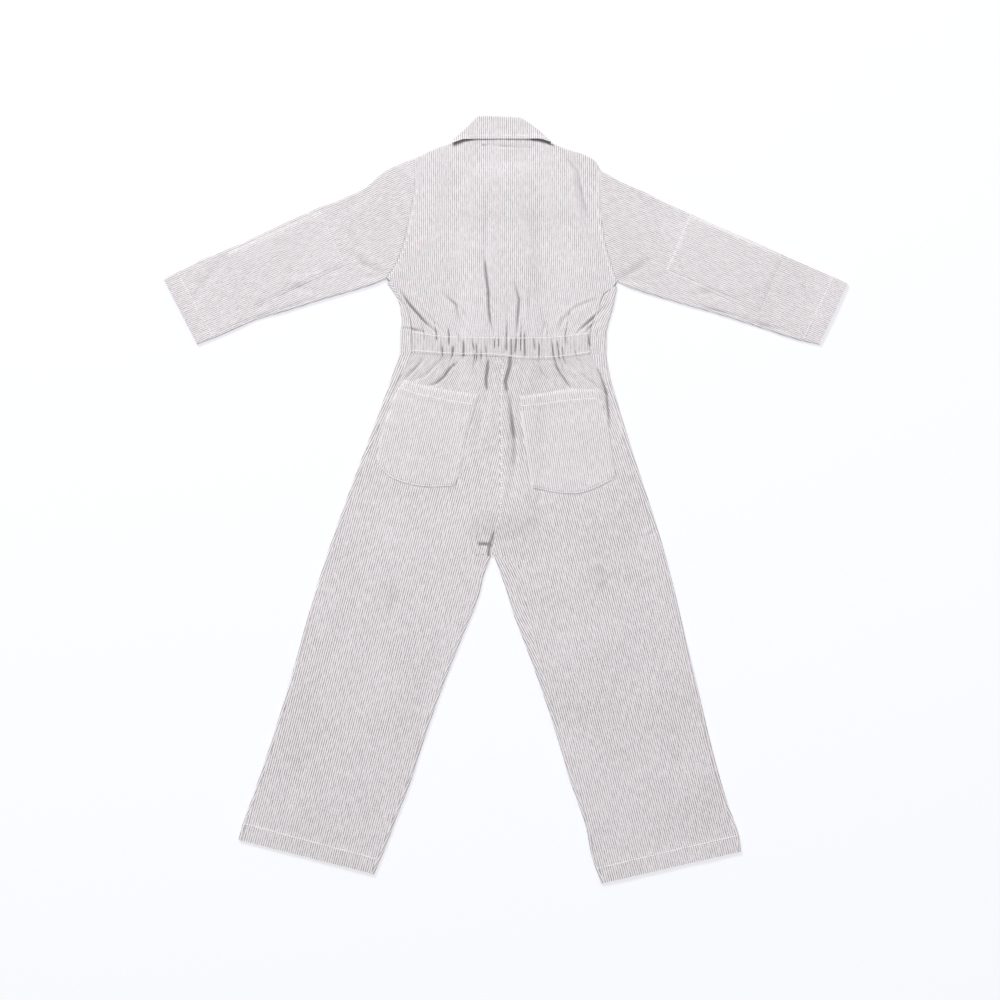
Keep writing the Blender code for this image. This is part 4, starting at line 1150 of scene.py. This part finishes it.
def pressed(plan: Array, cover: Array, reach: float, proud: float = 0.2) -> Tuple[Array, Array]:
    """Heights of a stitched-on piece: full in the middle, pressed on to the cloth below at its borders.

    The way to each border is counted along the grid's rows and columns, and the height eases from a
    little above the cloth below to the cover's over the reach. The inside stays clear of that cloth.

    Args:
        plan: the piece's plan grid.
        cover: the height of its outside away from the borders.
        reach: width of the pressed edge.
        proud: height of the border above the cloth below.

    Returns:
        The heights of the outside and of the inside.
    """
    across = np.cumsum(np.linalg.norm(np.diff(plan, axis=1, prepend=plan[:, :1]), axis=2), axis=1)
    down = np.cumsum(np.linalg.norm(np.diff(plan, axis=0, prepend=plan[:1]), axis=2), axis=0)
    away = np.minimum(np.minimum(across, across[:, -1:] - across), np.minimum(down, down[-1:] - down))
    below = LAYERS.back(plan[..., 0], plan[..., 1])
    share = smooth_step(away / reach)
    outer = share * cover + (1 - share) * (below + proud)
    return outer, np.minimum(np.maximum(outer - CLOTH, below + 0.04), outer - 0.15)


def on_border(cover: HeightField, reach: float, inset: float = 2.3, proud: float = 0.2) -> HeightField:
    """Height of a pressed border at a set distance inside the edge, by the rule of pressed()."""
    share = float(smooth_step(np.array(inset / reach)))
    return lambda x, h: share * cover(x, h) + (1 - share) * (LAYERS.back(x, h) + proud)


def at_hem(line: Sequence) -> Array:
    """Place where a hem's stitching meets a line that runs down to the hem's edge."""
    return along(line, [1 - (HEM_DEPTH - HEM_STITCH_INSET) / run_length(line)])[0]


def edged(count: int, length: float, margin: float = 1.3) -> Array:
    """Shares from 0 to 1 with a close row just inside each end, for a pressed edge."""
    close = margin / length
    return np.r_[0.0, close / 2, np.linspace(close, 1 - close, count - 4), 1 - close / 2, 1.0]


# ---- the pieces ------------------------------------------------------------------------------------
def hem_extra(shares: Array, length: float) -> Array:
    """Added thickness of a turned-up hem at shares of a line of the given length."""
    return HEM_EXTRA * smooth_step((shares - 1 + HEM_DEPTH / length) * length / 1.5 + 0.5)


@dataclass
class Bodice:
    """Back and fronts of the upper part."""

    arm_rows: int = 88
    side_rows: int = 46
    front_columns: int = 44
    shoulder_steps: int = 7
    shoulder_gap: float = 0.25
    stitch_inset: float = 4.5
    back_grain: Grain = Grain(0.0, 1.03, 0.2, 770.0, 40.0)
    front_grain: Grain = BODY_GRAIN

    def back(self) -> bpy.types.Object:
        """The back: one panel from the shoulders and neck to the waistband, with its shoulder edges."""
        edges = []
        for side in (LEFT, RIGHT):
            armhole = evenly(np.add(side.armhole, (side.hand.value * SEAM / 2, 0)), self.arm_rows)
            seam = evenly(np.add(side.side_seam, (side.hand.value * SEAM, 0)), self.side_rows)
            edges.append(np.vstack([armhole, seam]))
        shoulders = [np.vstack([edge[:1], np.subtract(side.shoulder, (0, EDGE))[1:]])
                     for side, edge in zip((LEFT, RIGHT), edges)]
        left, neck, right = (CELL_COLUMNS * cells
                             for cells in (SHOULDER_LEFT_CELLS, NECK_CELLS, SHOULDER_RIGHT_CELLS))
        top = np.vstack([evenly(shoulders[0], left + 1)[:-1], evenly(NECK, neck + 1),
                         evenly(shoulders[1][::-1], right + 1)[1:]])
        bottom = np.add(evenly(WAIST_TOP, CELLS * CELL_COLUMNS + 1), (0, SEAM / 2))
        sheets = [upper(coons(top, bottom, *edges), self.back_grain)]
        for line in (top[:left + 1], top[-right - 1:]):
            sheets.append(self.shoulder_edge(line, LAYERS.neck_lift(*line.T), LAYERS.back(*line.T), True))
        return ClothWall("back_bodice", COTTON, *sheets).build()

    def shoulder_edge(self, line: Array, low: Array, high: Array, top_half: bool) -> Sheet:
        """Quarter round above a shoulder, the back's half or the front's.

        Args:
            line: the shoulder's plan line.
            low: height of the fronts' underside.
            high: height of the back's outside.
            top_half: True for the back's half.

        Returns:
            The stretch, with a row for each point of the line.
        """
        middle = (low + high) / 2 + (self.shoulder_gap if top_half else -self.shoulder_gap)
        reach = (high if top_half else low) - middle
        angle = np.linspace(0, math.pi / 2, self.shoulder_steps)[None, :]
        parts = []
        for thick in (0.0, CLOTH):
            plan = np.repeat(line[:, None], self.shoulder_steps, axis=1)
            plan[..., 1] += (EDGE - thick) * np.sin(angle)
            rise = (reach - np.sign(reach) * thick)[:, None] * np.cos(angle)
            parts.append(lay(plan, middle[:, None] + rise))
        return Sheet.of(*parts, self.back_grain)

    def front(self, side: Pattern) -> bpy.types.Object:
        """One front: the lower layer, its rolled side edge and the lip that shows beside the back."""
        hand, floor = side.hand.value, LAYERS.under(side.hand)
        armhole = evenly(np.add(side.armhole, (hand * SEAM / 2, 0)), self.arm_rows)
        outline = evenly(side.side, self.side_rows)
        seam = evenly(side.side_seam, self.side_rows)
        inward = inwards(outline, -hand)
        blend = smooth_step(np.linspace(0, 1, self.side_rows) * 3 - 2)[:, None]
        inward = inward * (1 - blend) + np.array([[hand, 0.0]]) * blend
        line = outline + EDGE * inward
        line[-1, 1] = outline[-1, 1] + SEAM / 2
        border = np.vstack([armhole, line])
        shoulder = np.vstack([border[:1], np.subtract(side.shoulder, (0, EDGE))[1:]])
        part = self.front_columns // 2
        edge = evenly(shoulder, part)
        throat = straight([*side.throat, (side.centre, BAND_TOP_H)], self.front_columns - part)
        top = np.vstack([edge, throat])
        waist = level(WAIST_TOP, side.centre) + SEAM / 2
        middle = straight([(side.centre, BAND_TOP_H), (side.centre, waist)], len(border))
        bottom = straight([border[-1], middle[-1]], len(top))
        lip = np.linalg.norm(seam - line, axis=1)
        return ClothWall(
            "front_bodice_" + side.name, COTTON,
            lower(coons(top, bottom, border, middle), self.front_grain, floor),
            rolled(line, -inward, floor, self.front_grain, lip, np.zeros(len(line))),
            self.shoulder_edge(edge, floor(*edge.T), LAYERS.plain(*edge.T), False)).build()

    def build(self, stitching: Stitching) -> List[bpy.types.Object]:
        """Make the back, the fronts and their stitching."""
        for side in (LEFT, RIGHT):
            stitching.run(np.add(side.armhole, (side.hand.value * self.stitch_inset, 0)), LAYERS.back)
        return [self.back(), *(self.front(side) for side in (LEFT, RIGHT))]


@dataclass
class Waistband:
    """Gathered elastic band across the back and the plain band across the fronts."""

    rows: int = 19
    front_columns: int = 60
    grain: Grain = Grain(0.0, 1.4)
    swell: float = 0.7
    end_fade: float = 14.0
    stitch_inset: float = 3.0
    stitch_pitch: float = 3.0

    def cover(self, x: Array, h: Array) -> Array:
        """Outside of the back band: the layer's height, swollen by the elastic between its two seams."""
        top, low = level(WAIST_TOP, x), level(WAIST_LOW, x)
        share = np.clip((top - h) / (top - low), 0, 1)
        ends = smooth_step(np.minimum(x - WAIST_TOP[0][0], WAIST_TOP[-1][0] - x) / self.end_fade)
        return LAYERS.hem(x, h) + self.swell * ends * np.sin(math.pi * share) ** 0.5

    def back(self) -> bpy.types.Object:
        """The back band, in rows from its upper to its lower seam."""
        columns = CELLS * CELL_COLUMNS + 1
        top = np.subtract(evenly(WAIST_TOP, columns), (0, SEAM / 2))
        low = np.add(evenly(WAIST_LOW, columns), (0, SEAM / 2))
        plan = between(top, low, self.rows).transpose(1, 0, 2)
        x, h = plan[..., 0], plan[..., 1]
        layer = LAYERS.back(x, h)
        sheet = Sheet.of(lay(plan, self.cover(x, h)), lay(plan, layer - CLOTH), self.grain,
                         LAYERS.hollow(x, h, layer))
        return ClothWall("waistband_back", BAND_COTTON, sheet).build()

    def front(self, side: Pattern) -> bpy.types.Object:
        """The front band on one side: flat below, rolled at the side and lipped on top."""
        floor = LAYERS.under(side.hand)
        outline = straight(np.add(side.band_end, [(0, -SEAM / 2), (0, SEAM / 2)]), self.rows)
        inward = np.repeat([[float(side.hand.value), 0.0]], self.rows, axis=0)
        line = outline + EDGE * inward
        middle = straight([(side.centre, level(WAIST_TOP, side.centre) - SEAM / 2),
                           (side.centre, level(WAIST_LOW, side.centre) + SEAM / 2)], self.rows)
        lip = np.abs(side.band_seam - line[:, 0])
        return ClothWall("waistband_front_" + side.name, BAND_COTTON,
                         lower(between(line, middle, self.front_columns), BODY_GRAIN, floor),
                         rolled(line, -inward, floor, BODY_GRAIN, lip, np.zeros(self.rows))).build()

    def build(self, stitching: Stitching) -> List[bpy.types.Object]:
        """Make the three bands and the two rows of stitching along the back band."""
        for line, inset in ((WAIST_TOP, -self.stitch_inset), (WAIST_LOW, self.stitch_inset)):
            stitching.run(np.add(line, (0, inset)), self.cover, 0.1, self.stitch_pitch)
        return [self.back(), *(self.front(side) for side in (LEFT, RIGHT))]


@dataclass
class Sleeve:
    """One sleeve, a flat tube with a hemmed cuff and a stitched elbow patch."""

    side: Pattern
    rows: int = 130
    columns: int = 46
    patch_lift: float = 0.2
    patch_border: float = 6.0
    patch_width: float = 84.0
    patch_length: float = 145.0
    patch_columns: int = 48
    patch_rows: int = 78
    loop: float = 0.96
    stitch_inset: float = 3.0

    def grain(self) -> Grain:
        """Stripes along the sleeve, seen a little closer than on the body."""
        return Grain(self.side.sleeve_turn, 1.15)

    def tube(self) -> bpy.types.Object:
        """The sleeve: back, front and the two rolled edges between them."""
        side, hand = self.side, self.side.hand.value
        shares = np.linspace(0, 1, self.rows)
        extra = hem_extra(shares, run_length(side.sleeve_top))
        armhole = evenly(np.subtract(side.armhole, (hand * SEAM / 2, 0)), self.columns)
        sheets, lines = [], []
        for table, turn, start in ((side.sleeve_top, -hand, armhole[0]),
                                   (side.sleeve_low, hand, armhole[-1])):
            outline = along(table, shares)
            inward = inwards(outline, turn)
            first = np.array([0.0, hand * turn])
            blend = smooth_step(np.linspace(1, 1 - self.rows / 8, self.rows))[:, None]
            inward = inward * (1 - blend) + first * blend
            inward /= np.linalg.norm(inward, axis=1)[:, None]
            line = outline + EDGE * inward
            line = line + (start - line[0]) * blend
            sheets.append(Sheet.of(*half_round(line, -inward, LAYERS.floor, extra), self.grain()))
            lines.append(line)
        cuff = straight([lines[0][-1], lines[1][-1]], self.columns)
        plan = coons(armhole, cuff, *lines)
        return ClothWall("sleeve_" + side.name, COTTON, *sheets, upper(plan, self.grain(), extra[:, None]),
                         lower(plan, self.grain(), LAYERS.floor, extra[:, None])).build()

    def on_patch(self, x: Array, h: Array) -> Array:
        """Outside of the elbow patch."""
        return LAYERS.smooth_back(x, h) + self.patch_lift + CLOTH

    def patch(self) -> bpy.types.Object:
        """The elbow patch, laid on the sleeve."""
        near, far = (along([self.side.elbow[end + "_top"], self.side.elbow[end + "_low"]],
                           edged(self.patch_columns, self.patch_width)) for end in ("near", "far"))
        share = edged(self.patch_rows, self.patch_length)[None, :, None]
        plan = near[:, None] * (1 - share) + far[:, None] * share
        outer, inner = pressed(plan, self.on_patch(plan[..., 0], plan[..., 1]), self.patch_border)
        return ClothWall("elbow_patch_" + self.side.name, COTTON,
                         Sheet.of(lay(plan, outer), lay(plan, inner), self.grain())).build()

    def build(self, stitching: Stitching) -> List[bpy.types.Object]:
        """Make the sleeve, its patch and their stitching."""
        keys = ("near_top", "near_low", "far_low", "far_top")
        corners = np.array([self.side.elbow[key] for key in keys])
        centre = corners.mean(axis=0)
        loop = centre + (corners - centre) * self.loop
        for start, end in zip(loop, np.roll(loop, -1, axis=0)):
            stitching.run([start, end], on_border(self.on_patch, self.patch_border), -0.1)
        stitching.run([at_hem(self.side.sleeve_top) - (0, self.stitch_inset),
                       at_hem(self.side.sleeve_low) + (0, self.stitch_inset)], LAYERS.hem)
        return [self.tube(), self.patch()]


@dataclass
class Leg:
    """One leg: the back panel with its gathers, the front with rolled edges and lips, and the hem."""

    side: Pattern
    rise_rows: int = 132
    low_rows: int = 118
    front_columns: int = 40
    stitch_inset: float = 2.0
    band_end: Tuple[float, float] = (-4.5, 4.2)
    seam_inset: float = 2.6
    seam_pitch: float = 4.2

    def grain(self, fan: float = 0.0) -> Grain:
        """Stripes along the leg, crowding under the waistband where the panel is gathered."""
        return Grain(self.side.leg_turn, 0.98, fan, 740.0, 45.0)

    def lines(self) -> Dict[str, Array]:
        """Outlines, rolled lines, seams and thickness at the shared rows.

        Returns:
            Arrays by name: rise heights, outer and inner lines with their inward normals, the two seams
            and the hem's added thickness at each row.
        """
        side, hand = self.side, self.side.hand.value
        rise = np.linspace(0, 1, self.rise_rows + 1)[:-1] ** 0.9
        below = np.linspace(0, 1, self.low_rows)
        shares = np.r_[rise * side.crotch, side.crotch + (1 - side.crotch) * below]
        outside, inside = along(side.leg_out, shares), along(side.leg_in, below)
        lip_out = np.interp(shares, *np.array(side.lip_out).T)
        lip_in = np.interp(below, *np.array(side.lip_in).T)
        extra = np.r_[np.zeros(self.rise_rows), hem_extra(below, run_length(side.leg_in))]
        in_out, in_in = inwards(outside, -hand), inwards(inside, hand)
        blend = smooth_step(np.linspace(1, 1 - len(shares) / 6, len(shares)))[:, None]
        in_out = in_out * (1 - blend) + np.array([[hand, 0.0]]) * blend
        line_out, line_in = outside + EDGE * in_out, inside + EDGE * in_in
        line_out[0, 1] -= SEAM / 2
        lip_out[0] = abs(side.band_seam - line_out[0, 0])
        return dict(rise=rise, extra=extra, in_out=in_out, in_in=in_in, line_out=line_out, line_in=line_in,
                    lip_out=lip_out, lip_in=lip_in, seam_out=line_out + in_out * lip_out[:, None],
                    seam_in=line_in + in_in * lip_in[:, None])

    def front(self, made: Dict[str, Array]) -> bpy.types.Object:
        """The front panel with both rolled edges."""
        side, floor = self.side, LAYERS.under(self.side.hand)
        waist = level(WAIST_LOW, side.centre) - SEAM / 2
        rise_h = waist - (waist - side.leg_in[0][1]) * made["rise"]
        closing = eased(rise_h - BAND_BOTTOM_H, self.band_end)
        front_x = beside_centre_seam(rise_h, side.hand.value) * (1 - closing) + side.centre * closing
        inner = np.vstack([np.stack([front_x, rise_h], axis=1), made["line_in"]])
        extra, grain = made["extra"], self.grain()
        return ClothWall(
            "leg_front_" + side.name, LEG_COTTON,
            lower(between(made["line_out"], inner, self.front_columns), grain, floor, extra[:, None]),
            rolled(made["line_out"], -made["in_out"], floor, grain, made["lip_out"], extra),
            rolled(made["line_in"], -made["in_in"], floor, grain, made["lip_in"],
                   extra[self.rise_rows:])).build()

    def back(self, made: Dict[str, Array]) -> bpy.types.Object:
        """The back panel, from the waistband's gathers to the hem."""
        side, hand = self.side, self.side.hand.value
        half = CELLS * CELL_COLUMNS // 2
        waist = np.subtract(evenly(WAIST_LOW, 2 * half + 1), (0, SEAM / 2))
        top = waist[:half + 1].copy() if side.hand is Hand.LEFT else waist[half:].copy()
        centre = -1 if side.hand is Hand.LEFT else 0
        rise_h = top[centre, 1] - (WAIST_LOW[2][1] - side.leg_in[0][1]) * made["rise"]
        seam_x = beside_centre_seam(rise_h, hand)
        outer = made["seam_out"] + SEAM * made["in_out"]
        inner = np.vstack([np.stack([seam_x, rise_h], axis=1), made["seam_in"] + SEAM * made["in_in"]])
        borders = [outer, inner] if side.hand is Hand.LEFT else [inner, outer]
        top[:, 0] += (seam_x[0] - top[centre, 0]) * np.linspace(0, 1, half + 1)[::-hand][::-1]
        for border, end in zip(borders, (0, -1)):
            border[0] = top[end]
        bottom = straight([borders[0][-1], borders[1][-1]], half + 1)
        panel = upper(coons(top, bottom, *borders), self.grain(0.35), made["extra"][:, None])
        return ClothWall("leg_back_" + side.name, LEG_COTTON, panel).build()

    def build(self, stitching: Stitching) -> List[bpy.types.Object]:
        """Make the two panels, the hem's stitching and the centre seam's."""
        made = self.lines()
        inset = np.array([self.side.hand.value * self.stitch_inset, 0])
        stitching.run([at_hem(self.side.leg_out) + inset, at_hem(self.side.leg_in) - inset], LAYERS.hem)
        if self.side.hand is Hand.RIGHT:
            seam = np.add(CENTRE_SEAM[:-1], (self.seam_inset, 0))
            stitching.run(seam, LAYERS.back, -0.1, self.seam_pitch)
        return [self.front(made), self.back(made)]


@dataclass
class PatchPocket:
    """Seat patch pocket with a stitched top hem and rounded lower corners."""

    side: Pattern
    rows: int = 74
    columns: int = 62
    width: float = 115.0
    length: float = 145.0
    lift: float = 0.6
    border: float = 4.5
    hem_share: float = 0.14
    hem_edge: float = 0.014

    def cover(self, x: Array, h: Array) -> Array:
        """Outside of the pocket."""
        return LAYERS.smooth_back(x, h) + self.lift + CLOTH

    def build(self, stitching: Stitching) -> List[bpy.types.Object]:
        """Make the pocket and its two rows of stitching."""
        table = self.side.pocket
        down, over = edged(self.rows, self.length), edged(self.columns, self.width)
        left, right = along(table["left"], down), along(table["right"], down)
        top, bottom = along(table["top"], over), along(table["bottom"], over)
        plan = coons(top, bottom, left, right, down, over)
        extra = HEM_EXTRA * (1 - eased(down, (self.hem_share, self.hem_edge)))[:, None]
        outer, inner = pressed(plan, self.cover(plan[..., 0], plan[..., 1]), self.border)
        made = ClothWall("pocket_" + self.side.name, COTTON,
                         Sheet.of(lay(plan, outer + extra), lay(plan, inner),
                                  Grain(self.side.pocket_turn, 1.03))).build()
        border = on_border(self.cover, self.border)
        for line in (plan[3:-3:6, 2:4].mean(axis=1), plan[3:-3:6, -4:-2].mean(axis=1),
                     plan[-4:-2, 2:-2:5].mean(axis=0)):
            stitching.run(line, border, 0.3)
        hem_row = int(self.hem_share * self.rows)
        stitching.run(plan[hem_row - 1, 2:-2:5], lambda x, h: self.cover(x, h) + HEM_EXTRA)
        return [made]


@dataclass
class Collar:
    """Turned-down collar: the back part folded along its roll line, and the two front leaves below.

    Attributes:
        stand_z, fall_z: heights of the back part's stand and fall.
        leaf_z: height of a leaf's upper layer; its lower one lies on the ground.
        stations: sections along the collar.
        fall_columns, roll_columns, stand_columns: points of a section in each of its three stretches.
        rounded: how far the tables' lines are rounded, from straight at 0 to smooth at 1.
        free: how far the fall's edge stands off, beside its flare.
        wave, waves: height and number of the soft half waves along the fall.
    """

    stand_z: float = 5.0
    fall_z: float = 9.4
    leaf_z: float = 3.2
    stations: int = 90
    fall_columns: int = 12
    roll_columns: int = 15
    stand_columns: int = 6
    rounded: float = 0.3
    free: float = 0.6
    wave: float = 0.25
    waves: int = 5
    stitch_inset: float = 4.5
    grain: Grain = BODY_GRAIN

    def fold(self, name: str, table: Sequence, fall_z: float, stand_z: float) -> bpy.types.Object:
        """Fall, roll and stand as one folded strip.

        Each station's section is a straight fall, a half circle at the roll line and a straight stand.

        Args:
            name: the solid's name.
            table: stations roll, fall, stand (x, h) and the flare.
            fall_z: height of the fall's outside.
            stand_z: height of the stand's outside.

        Returns:
            The collar piece.
        """
        rows = np.array(table, float)
        knots = np.linspace(0, 1, len(rows))
        spot = np.linspace(0, 1, self.stations)
        cell = np.clip((spot * (len(rows) - 1)).astype(int), 0, len(rows) - 2)
        size = 1 / (len(rows) - 1)
        t = ((spot - knots[cell]) / size)[:, None]
        smooth = cubic(t, size, rows, np.gradient(rows, knots, axis=0), cell)
        linear = rows[cell] * (1 - t) + rows[cell + 1] * t
        table = self.rounded * smooth + (1 - self.rounded) * linear
        roll, fall, stand, flare = table[:, 0:2], table[:, 2:4], table[:, 4:6], table[:, 6]
        side = np.sign(stand_z - fall_z)
        middle, reach = (fall_z + stand_z) / 2, abs(stand_z - fall_z) / 2
        to_roll = (roll - fall) / np.linalg.norm(roll - fall, axis=1)[:, None]
        above = float(side < 0)     # the back part's fall is on top and stands off; a leaf lies flat
        wave = self.wave * np.sin(np.linspace(0, self.waves * math.pi, self.stations))
        start = roll + to_roll * -reach
        level_z = np.zeros(self.stations)
        parts = []
        for thick in (0.0, CLOTH):
            radius = reach - thick
            columns = []
            for share in np.linspace(0, 1, self.fall_columns, endpoint=False):
                off = ((flare + self.free) * (1 - share) ** 2.2 + wave * (1 - share)) * above
                columns.append((fall * (1 - share) + start * share, fall_z + side * thick + off))
            for a in np.linspace(0, math.pi, self.roll_columns):
                columns.append((roll + to_roll * (radius * math.sin(a) - reach),
                                level_z + (middle - side * radius * math.cos(a))))
            for share in np.linspace(0, 1, self.stand_columns + 1)[1:]:
                columns.append((start * (1 - share) + stand * share, level_z + (stand_z - side * thick)))
            places, heights = zip(*columns)
            parts.append(lay(np.stack(places, axis=1), np.stack(heights, axis=1)))
        # Painted shade: the stand, in shade under the fall or a front, is darkened in colour as at the
        # bottom of a deep fold.
        inside = np.zeros(parts[0].shape[:2])
        inside[:, -self.stand_columns:] = 1.0
        return ClothWall(name, COTTON, Sheet.of(*parts, self.grain, inside)).build()

    def build(self, stitching: Stitching) -> List[bpy.types.Object]:
        """Make the back part, the leaves and the row of stitching inside the fall's edge."""
        made = [self.fold("collar_back", COLLAR, self.fall_z, self.stand_z)]
        made += [self.fold("collar_front_" + side.name, side.leaf, 0.0, self.leaf_z)
                 for side in (LEFT, RIGHT)]
        edge = [(row[2], row[3] + self.stitch_inset) for row in COLLAR[1:-1]]
        stitching.run(edge, lambda x, h: np.full(np.shape(x), self.fall_z + 0.5), 0.14)
        return made


@dataclass
class FrontClosing:
    """Hidden button band with its buttons underneath."""

    radius: float = 6.5
    thick: float = 1.5
    columns: int = 22
    rows: int = 190
    stitch_inset: float = 3.0

    def band(self) -> bpy.types.Object:
        """The band on the left front, raised over each button."""
        x = np.linspace(CENTRE_X - BAND_WIDTH / 2, CENTRE_X + BAND_WIDTH / 2, self.columns)
        h = np.linspace(BAND_TOP_H, BAND_BOTTOM_H + SEAM, self.rows)
        plan = np.stack(np.meshgrid(x, h), axis=-1)
        return ClothWall("button_band", COTTON, lower(plan, BODY_GRAIN, LAYERS.button_floor)).build()

    def button(self, number: int, h: float) -> bpy.types.Object:
        """Button with a rounded rim, a dished middle and four holes.

        Its two faces are a polar grid: the height is the thickness, less a dish inside seven tenths of the
        radius, less a narrow well at each of four holes, rounded off at the rim as a quarter ellipse.

        Args:
            number: the button's number from the top.
            h: height of its middle up the garment.

        Returns:
            The button.
        """
        radius = np.r_[np.linspace(0.02, 0.9, 22), 0.94, 0.97, 0.99, 1.0]
        turn = np.linspace(0, 2 * math.pi, 49)[:-1]
        r, a = np.meshgrid(radius, turn, indexing="ij")
        x, y = r * np.cos(a), r * np.sin(a)
        rim = np.sqrt(np.clip(1 - (np.clip(r - 0.86, 0, 1) / 0.14) ** 2, 0, 1))
        dish = 0.35 * (1 - eased(r, (0.55, 0.2)))
        wells = sum(np.exp(-((x - dx) ** 2 + (y - dy) ** 2) / 0.012)
                    for dx, dy in ((0.2, 0.2), (-0.2, 0.2), (0.2, -0.2), (-0.2, -0.2)))
        half = self.thick / 2
        plain = half * (0.35 + 0.65 * rim)
        face = plain - (dish + 0.5 * np.clip(wells, 0, 1)) * (rim > 0.99)
        points = np.concatenate([np.stack([x * self.radius, y * self.radius, z], axis=-1).reshape(-1, 3)
                                 for z in (-face, plain)])
        here = np.arange(r.size).reshape(r.shape)
        after = np.roll(here, -1, axis=1)
        skin = np.stack([here[:-1], after[:-1], after[1:], here[1:]], axis=-1).reshape(-1, 4)
        rim_faces, hub = (np.stack([here[row], after[row], after[row] + r.size, here[row] + r.size], axis=-1)
                          for row in (-1, 0))
        faces = np.concatenate([skin, skin[:, ::-1] + r.size, rim_faces, hub[:, ::-1]])
        points += (CENTRE_X, h - LENGTH / 2, half)
        obj = object_from("button_%d_resin" % number, points * MM, faces)
        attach(obj, "root")
        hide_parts("button_%d" % number)
        RESIN.dress(obj)
        return obj

    def build(self, stitching: Stitching) -> List[bpy.types.Object]:
        """Make the band, its edge stitching and the buttons."""
        made = [self.band()]
        made += [self.button(number, h) for number, h in enumerate(BUTTON_HEIGHTS, start=1)]
        for side in (-1, 1):
            x = CENTRE_X + side * (BAND_WIDTH / 2 - self.stitch_inset)
            line = [(x, BAND_TOP_H - self.stitch_inset), (x, BAND_BOTTOM_H + self.stitch_inset)]
            stitching.run(line, lambda x, h: LAYERS.button_floor(x, h) + CLOTH, 0.1)
        return made


# ---- studio ----------------------------------------------------------------------------------------
@dataclass(frozen=True)
class Studio:
    """White floor that glows a little, soft light and the camera straight above."""

    floor_colour: Tuple[float, float, float] = (0.36, 0.365, 0.38)
    floor_cloud: Tuple[float, float, float] = (0.34, 0.34, 0.36)
    floor_half: float = 6.0
    floor_z: float = -0.0004
    glow: float = 0.645
    room_colour: Tuple[float, float, float] = (0.97, 0.98, 1.0)
    room_strength: float = 0.46
    frame_width: float = 1.4
    frame_z: float = 0.006
    lens: float = 100.0
    sensor: float = 36.0
    centre: Tuple[float, float] = (-0.0077, 0.0001)

    def floor(self) -> None:
        """Large plain floor just under the cloth."""
        corners = np.array([(-1, -1), (1, -1), (1, 1), (-1, 1)]) * self.floor_half
        points = np.column_stack([corners, np.full(4, self.floor_z)])
        obj = object_from("floor", points, np.array([[0, 1, 2, 3]]))
        n = Nodes("floor_paper")
        share = n.ease(n.noise(n.object_place(), 60.0), 0.0, 1.0, 0.0, 0.05)
        colour = n.blend(share, (*self.floor_colour, 1), (*self.floor_cloud, 1))
        n.tree.links.new(colour, n.shader.inputs["Base Color"])
        n.tune(Roughness=0.9, Specular_IOR_Level=0.1, Emission_Color=(0.96, 0.97, 1.0, 1.0),
               Emission_Strength=self.glow)
        obj.data.materials.append(n.material)

    def area_light(self, name: str, place: Tuple[float, float, float], size: float, power: float) -> None:
        """Square soft light pointed at the middle of the garment."""
        light = bpy.data.lights.new(name, "AREA")
        light.size, light.energy = size, power
        obj = bpy.data.objects.new(name, light)
        obj.location = place
        obj.rotation_euler = (-Vector(place)).to_track_quat("-Z", "Y").to_euler()
        bpy.context.scene.collection.objects.link(obj)

    def build(self) -> None:
        """Make the floor, the lights, the surrounding light and the camera."""
        self.floor()
        self.area_light("key", (-1.9, 3.2, 4.3), 1.7, 196.0)
        self.area_light("fill", (1.8, 1.0, 3.0), 2.4, 18.0)
        world = bpy.data.worlds.new("room")
        world.use_nodes = True
        background = world.node_tree.nodes["Background"].inputs
        background["Color"].default_value = (*self.room_colour, 1.0)
        background["Strength"].default_value = self.room_strength
        bpy.context.scene.world = world
        bpy.context.scene.view_settings.view_transform = "Standard"
        lens = bpy.data.cameras.new("camera")
        lens.lens, lens.sensor_width = self.lens, self.sensor
        lens.clip_start, lens.clip_end = 0.1, 50.0
        camera = bpy.data.objects.new("camera", lens)
        camera.location = (*self.centre, self.frame_width / self.sensor * self.lens + self.frame_z)
        bpy.context.scene.collection.objects.link(camera)
        bpy.context.scene.camera = camera


def main() -> None:
    """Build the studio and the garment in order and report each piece."""
    logging.basicConfig(level=logging.INFO, format="%(name)s: %(message)s")
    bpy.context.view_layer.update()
    Studio().build()
    stitching = Stitching("stitching")
    steps = [Bodice(), Waistband(), Collar(), FrontClosing()]
    for side in (LEFT, RIGHT):
        steps += [Sleeve(side), Leg(side), PatchPocket(side)]
    for step in steps:
        for piece in step.build(stitching):
            log.info("%s: %d faces", piece.name, len(piece.data.polygons))
    seams = stitching.build()
    log.info("%s: %d faces", seams.name, len(seams.data.polygons))


if __name__ == "__main__":
    main()
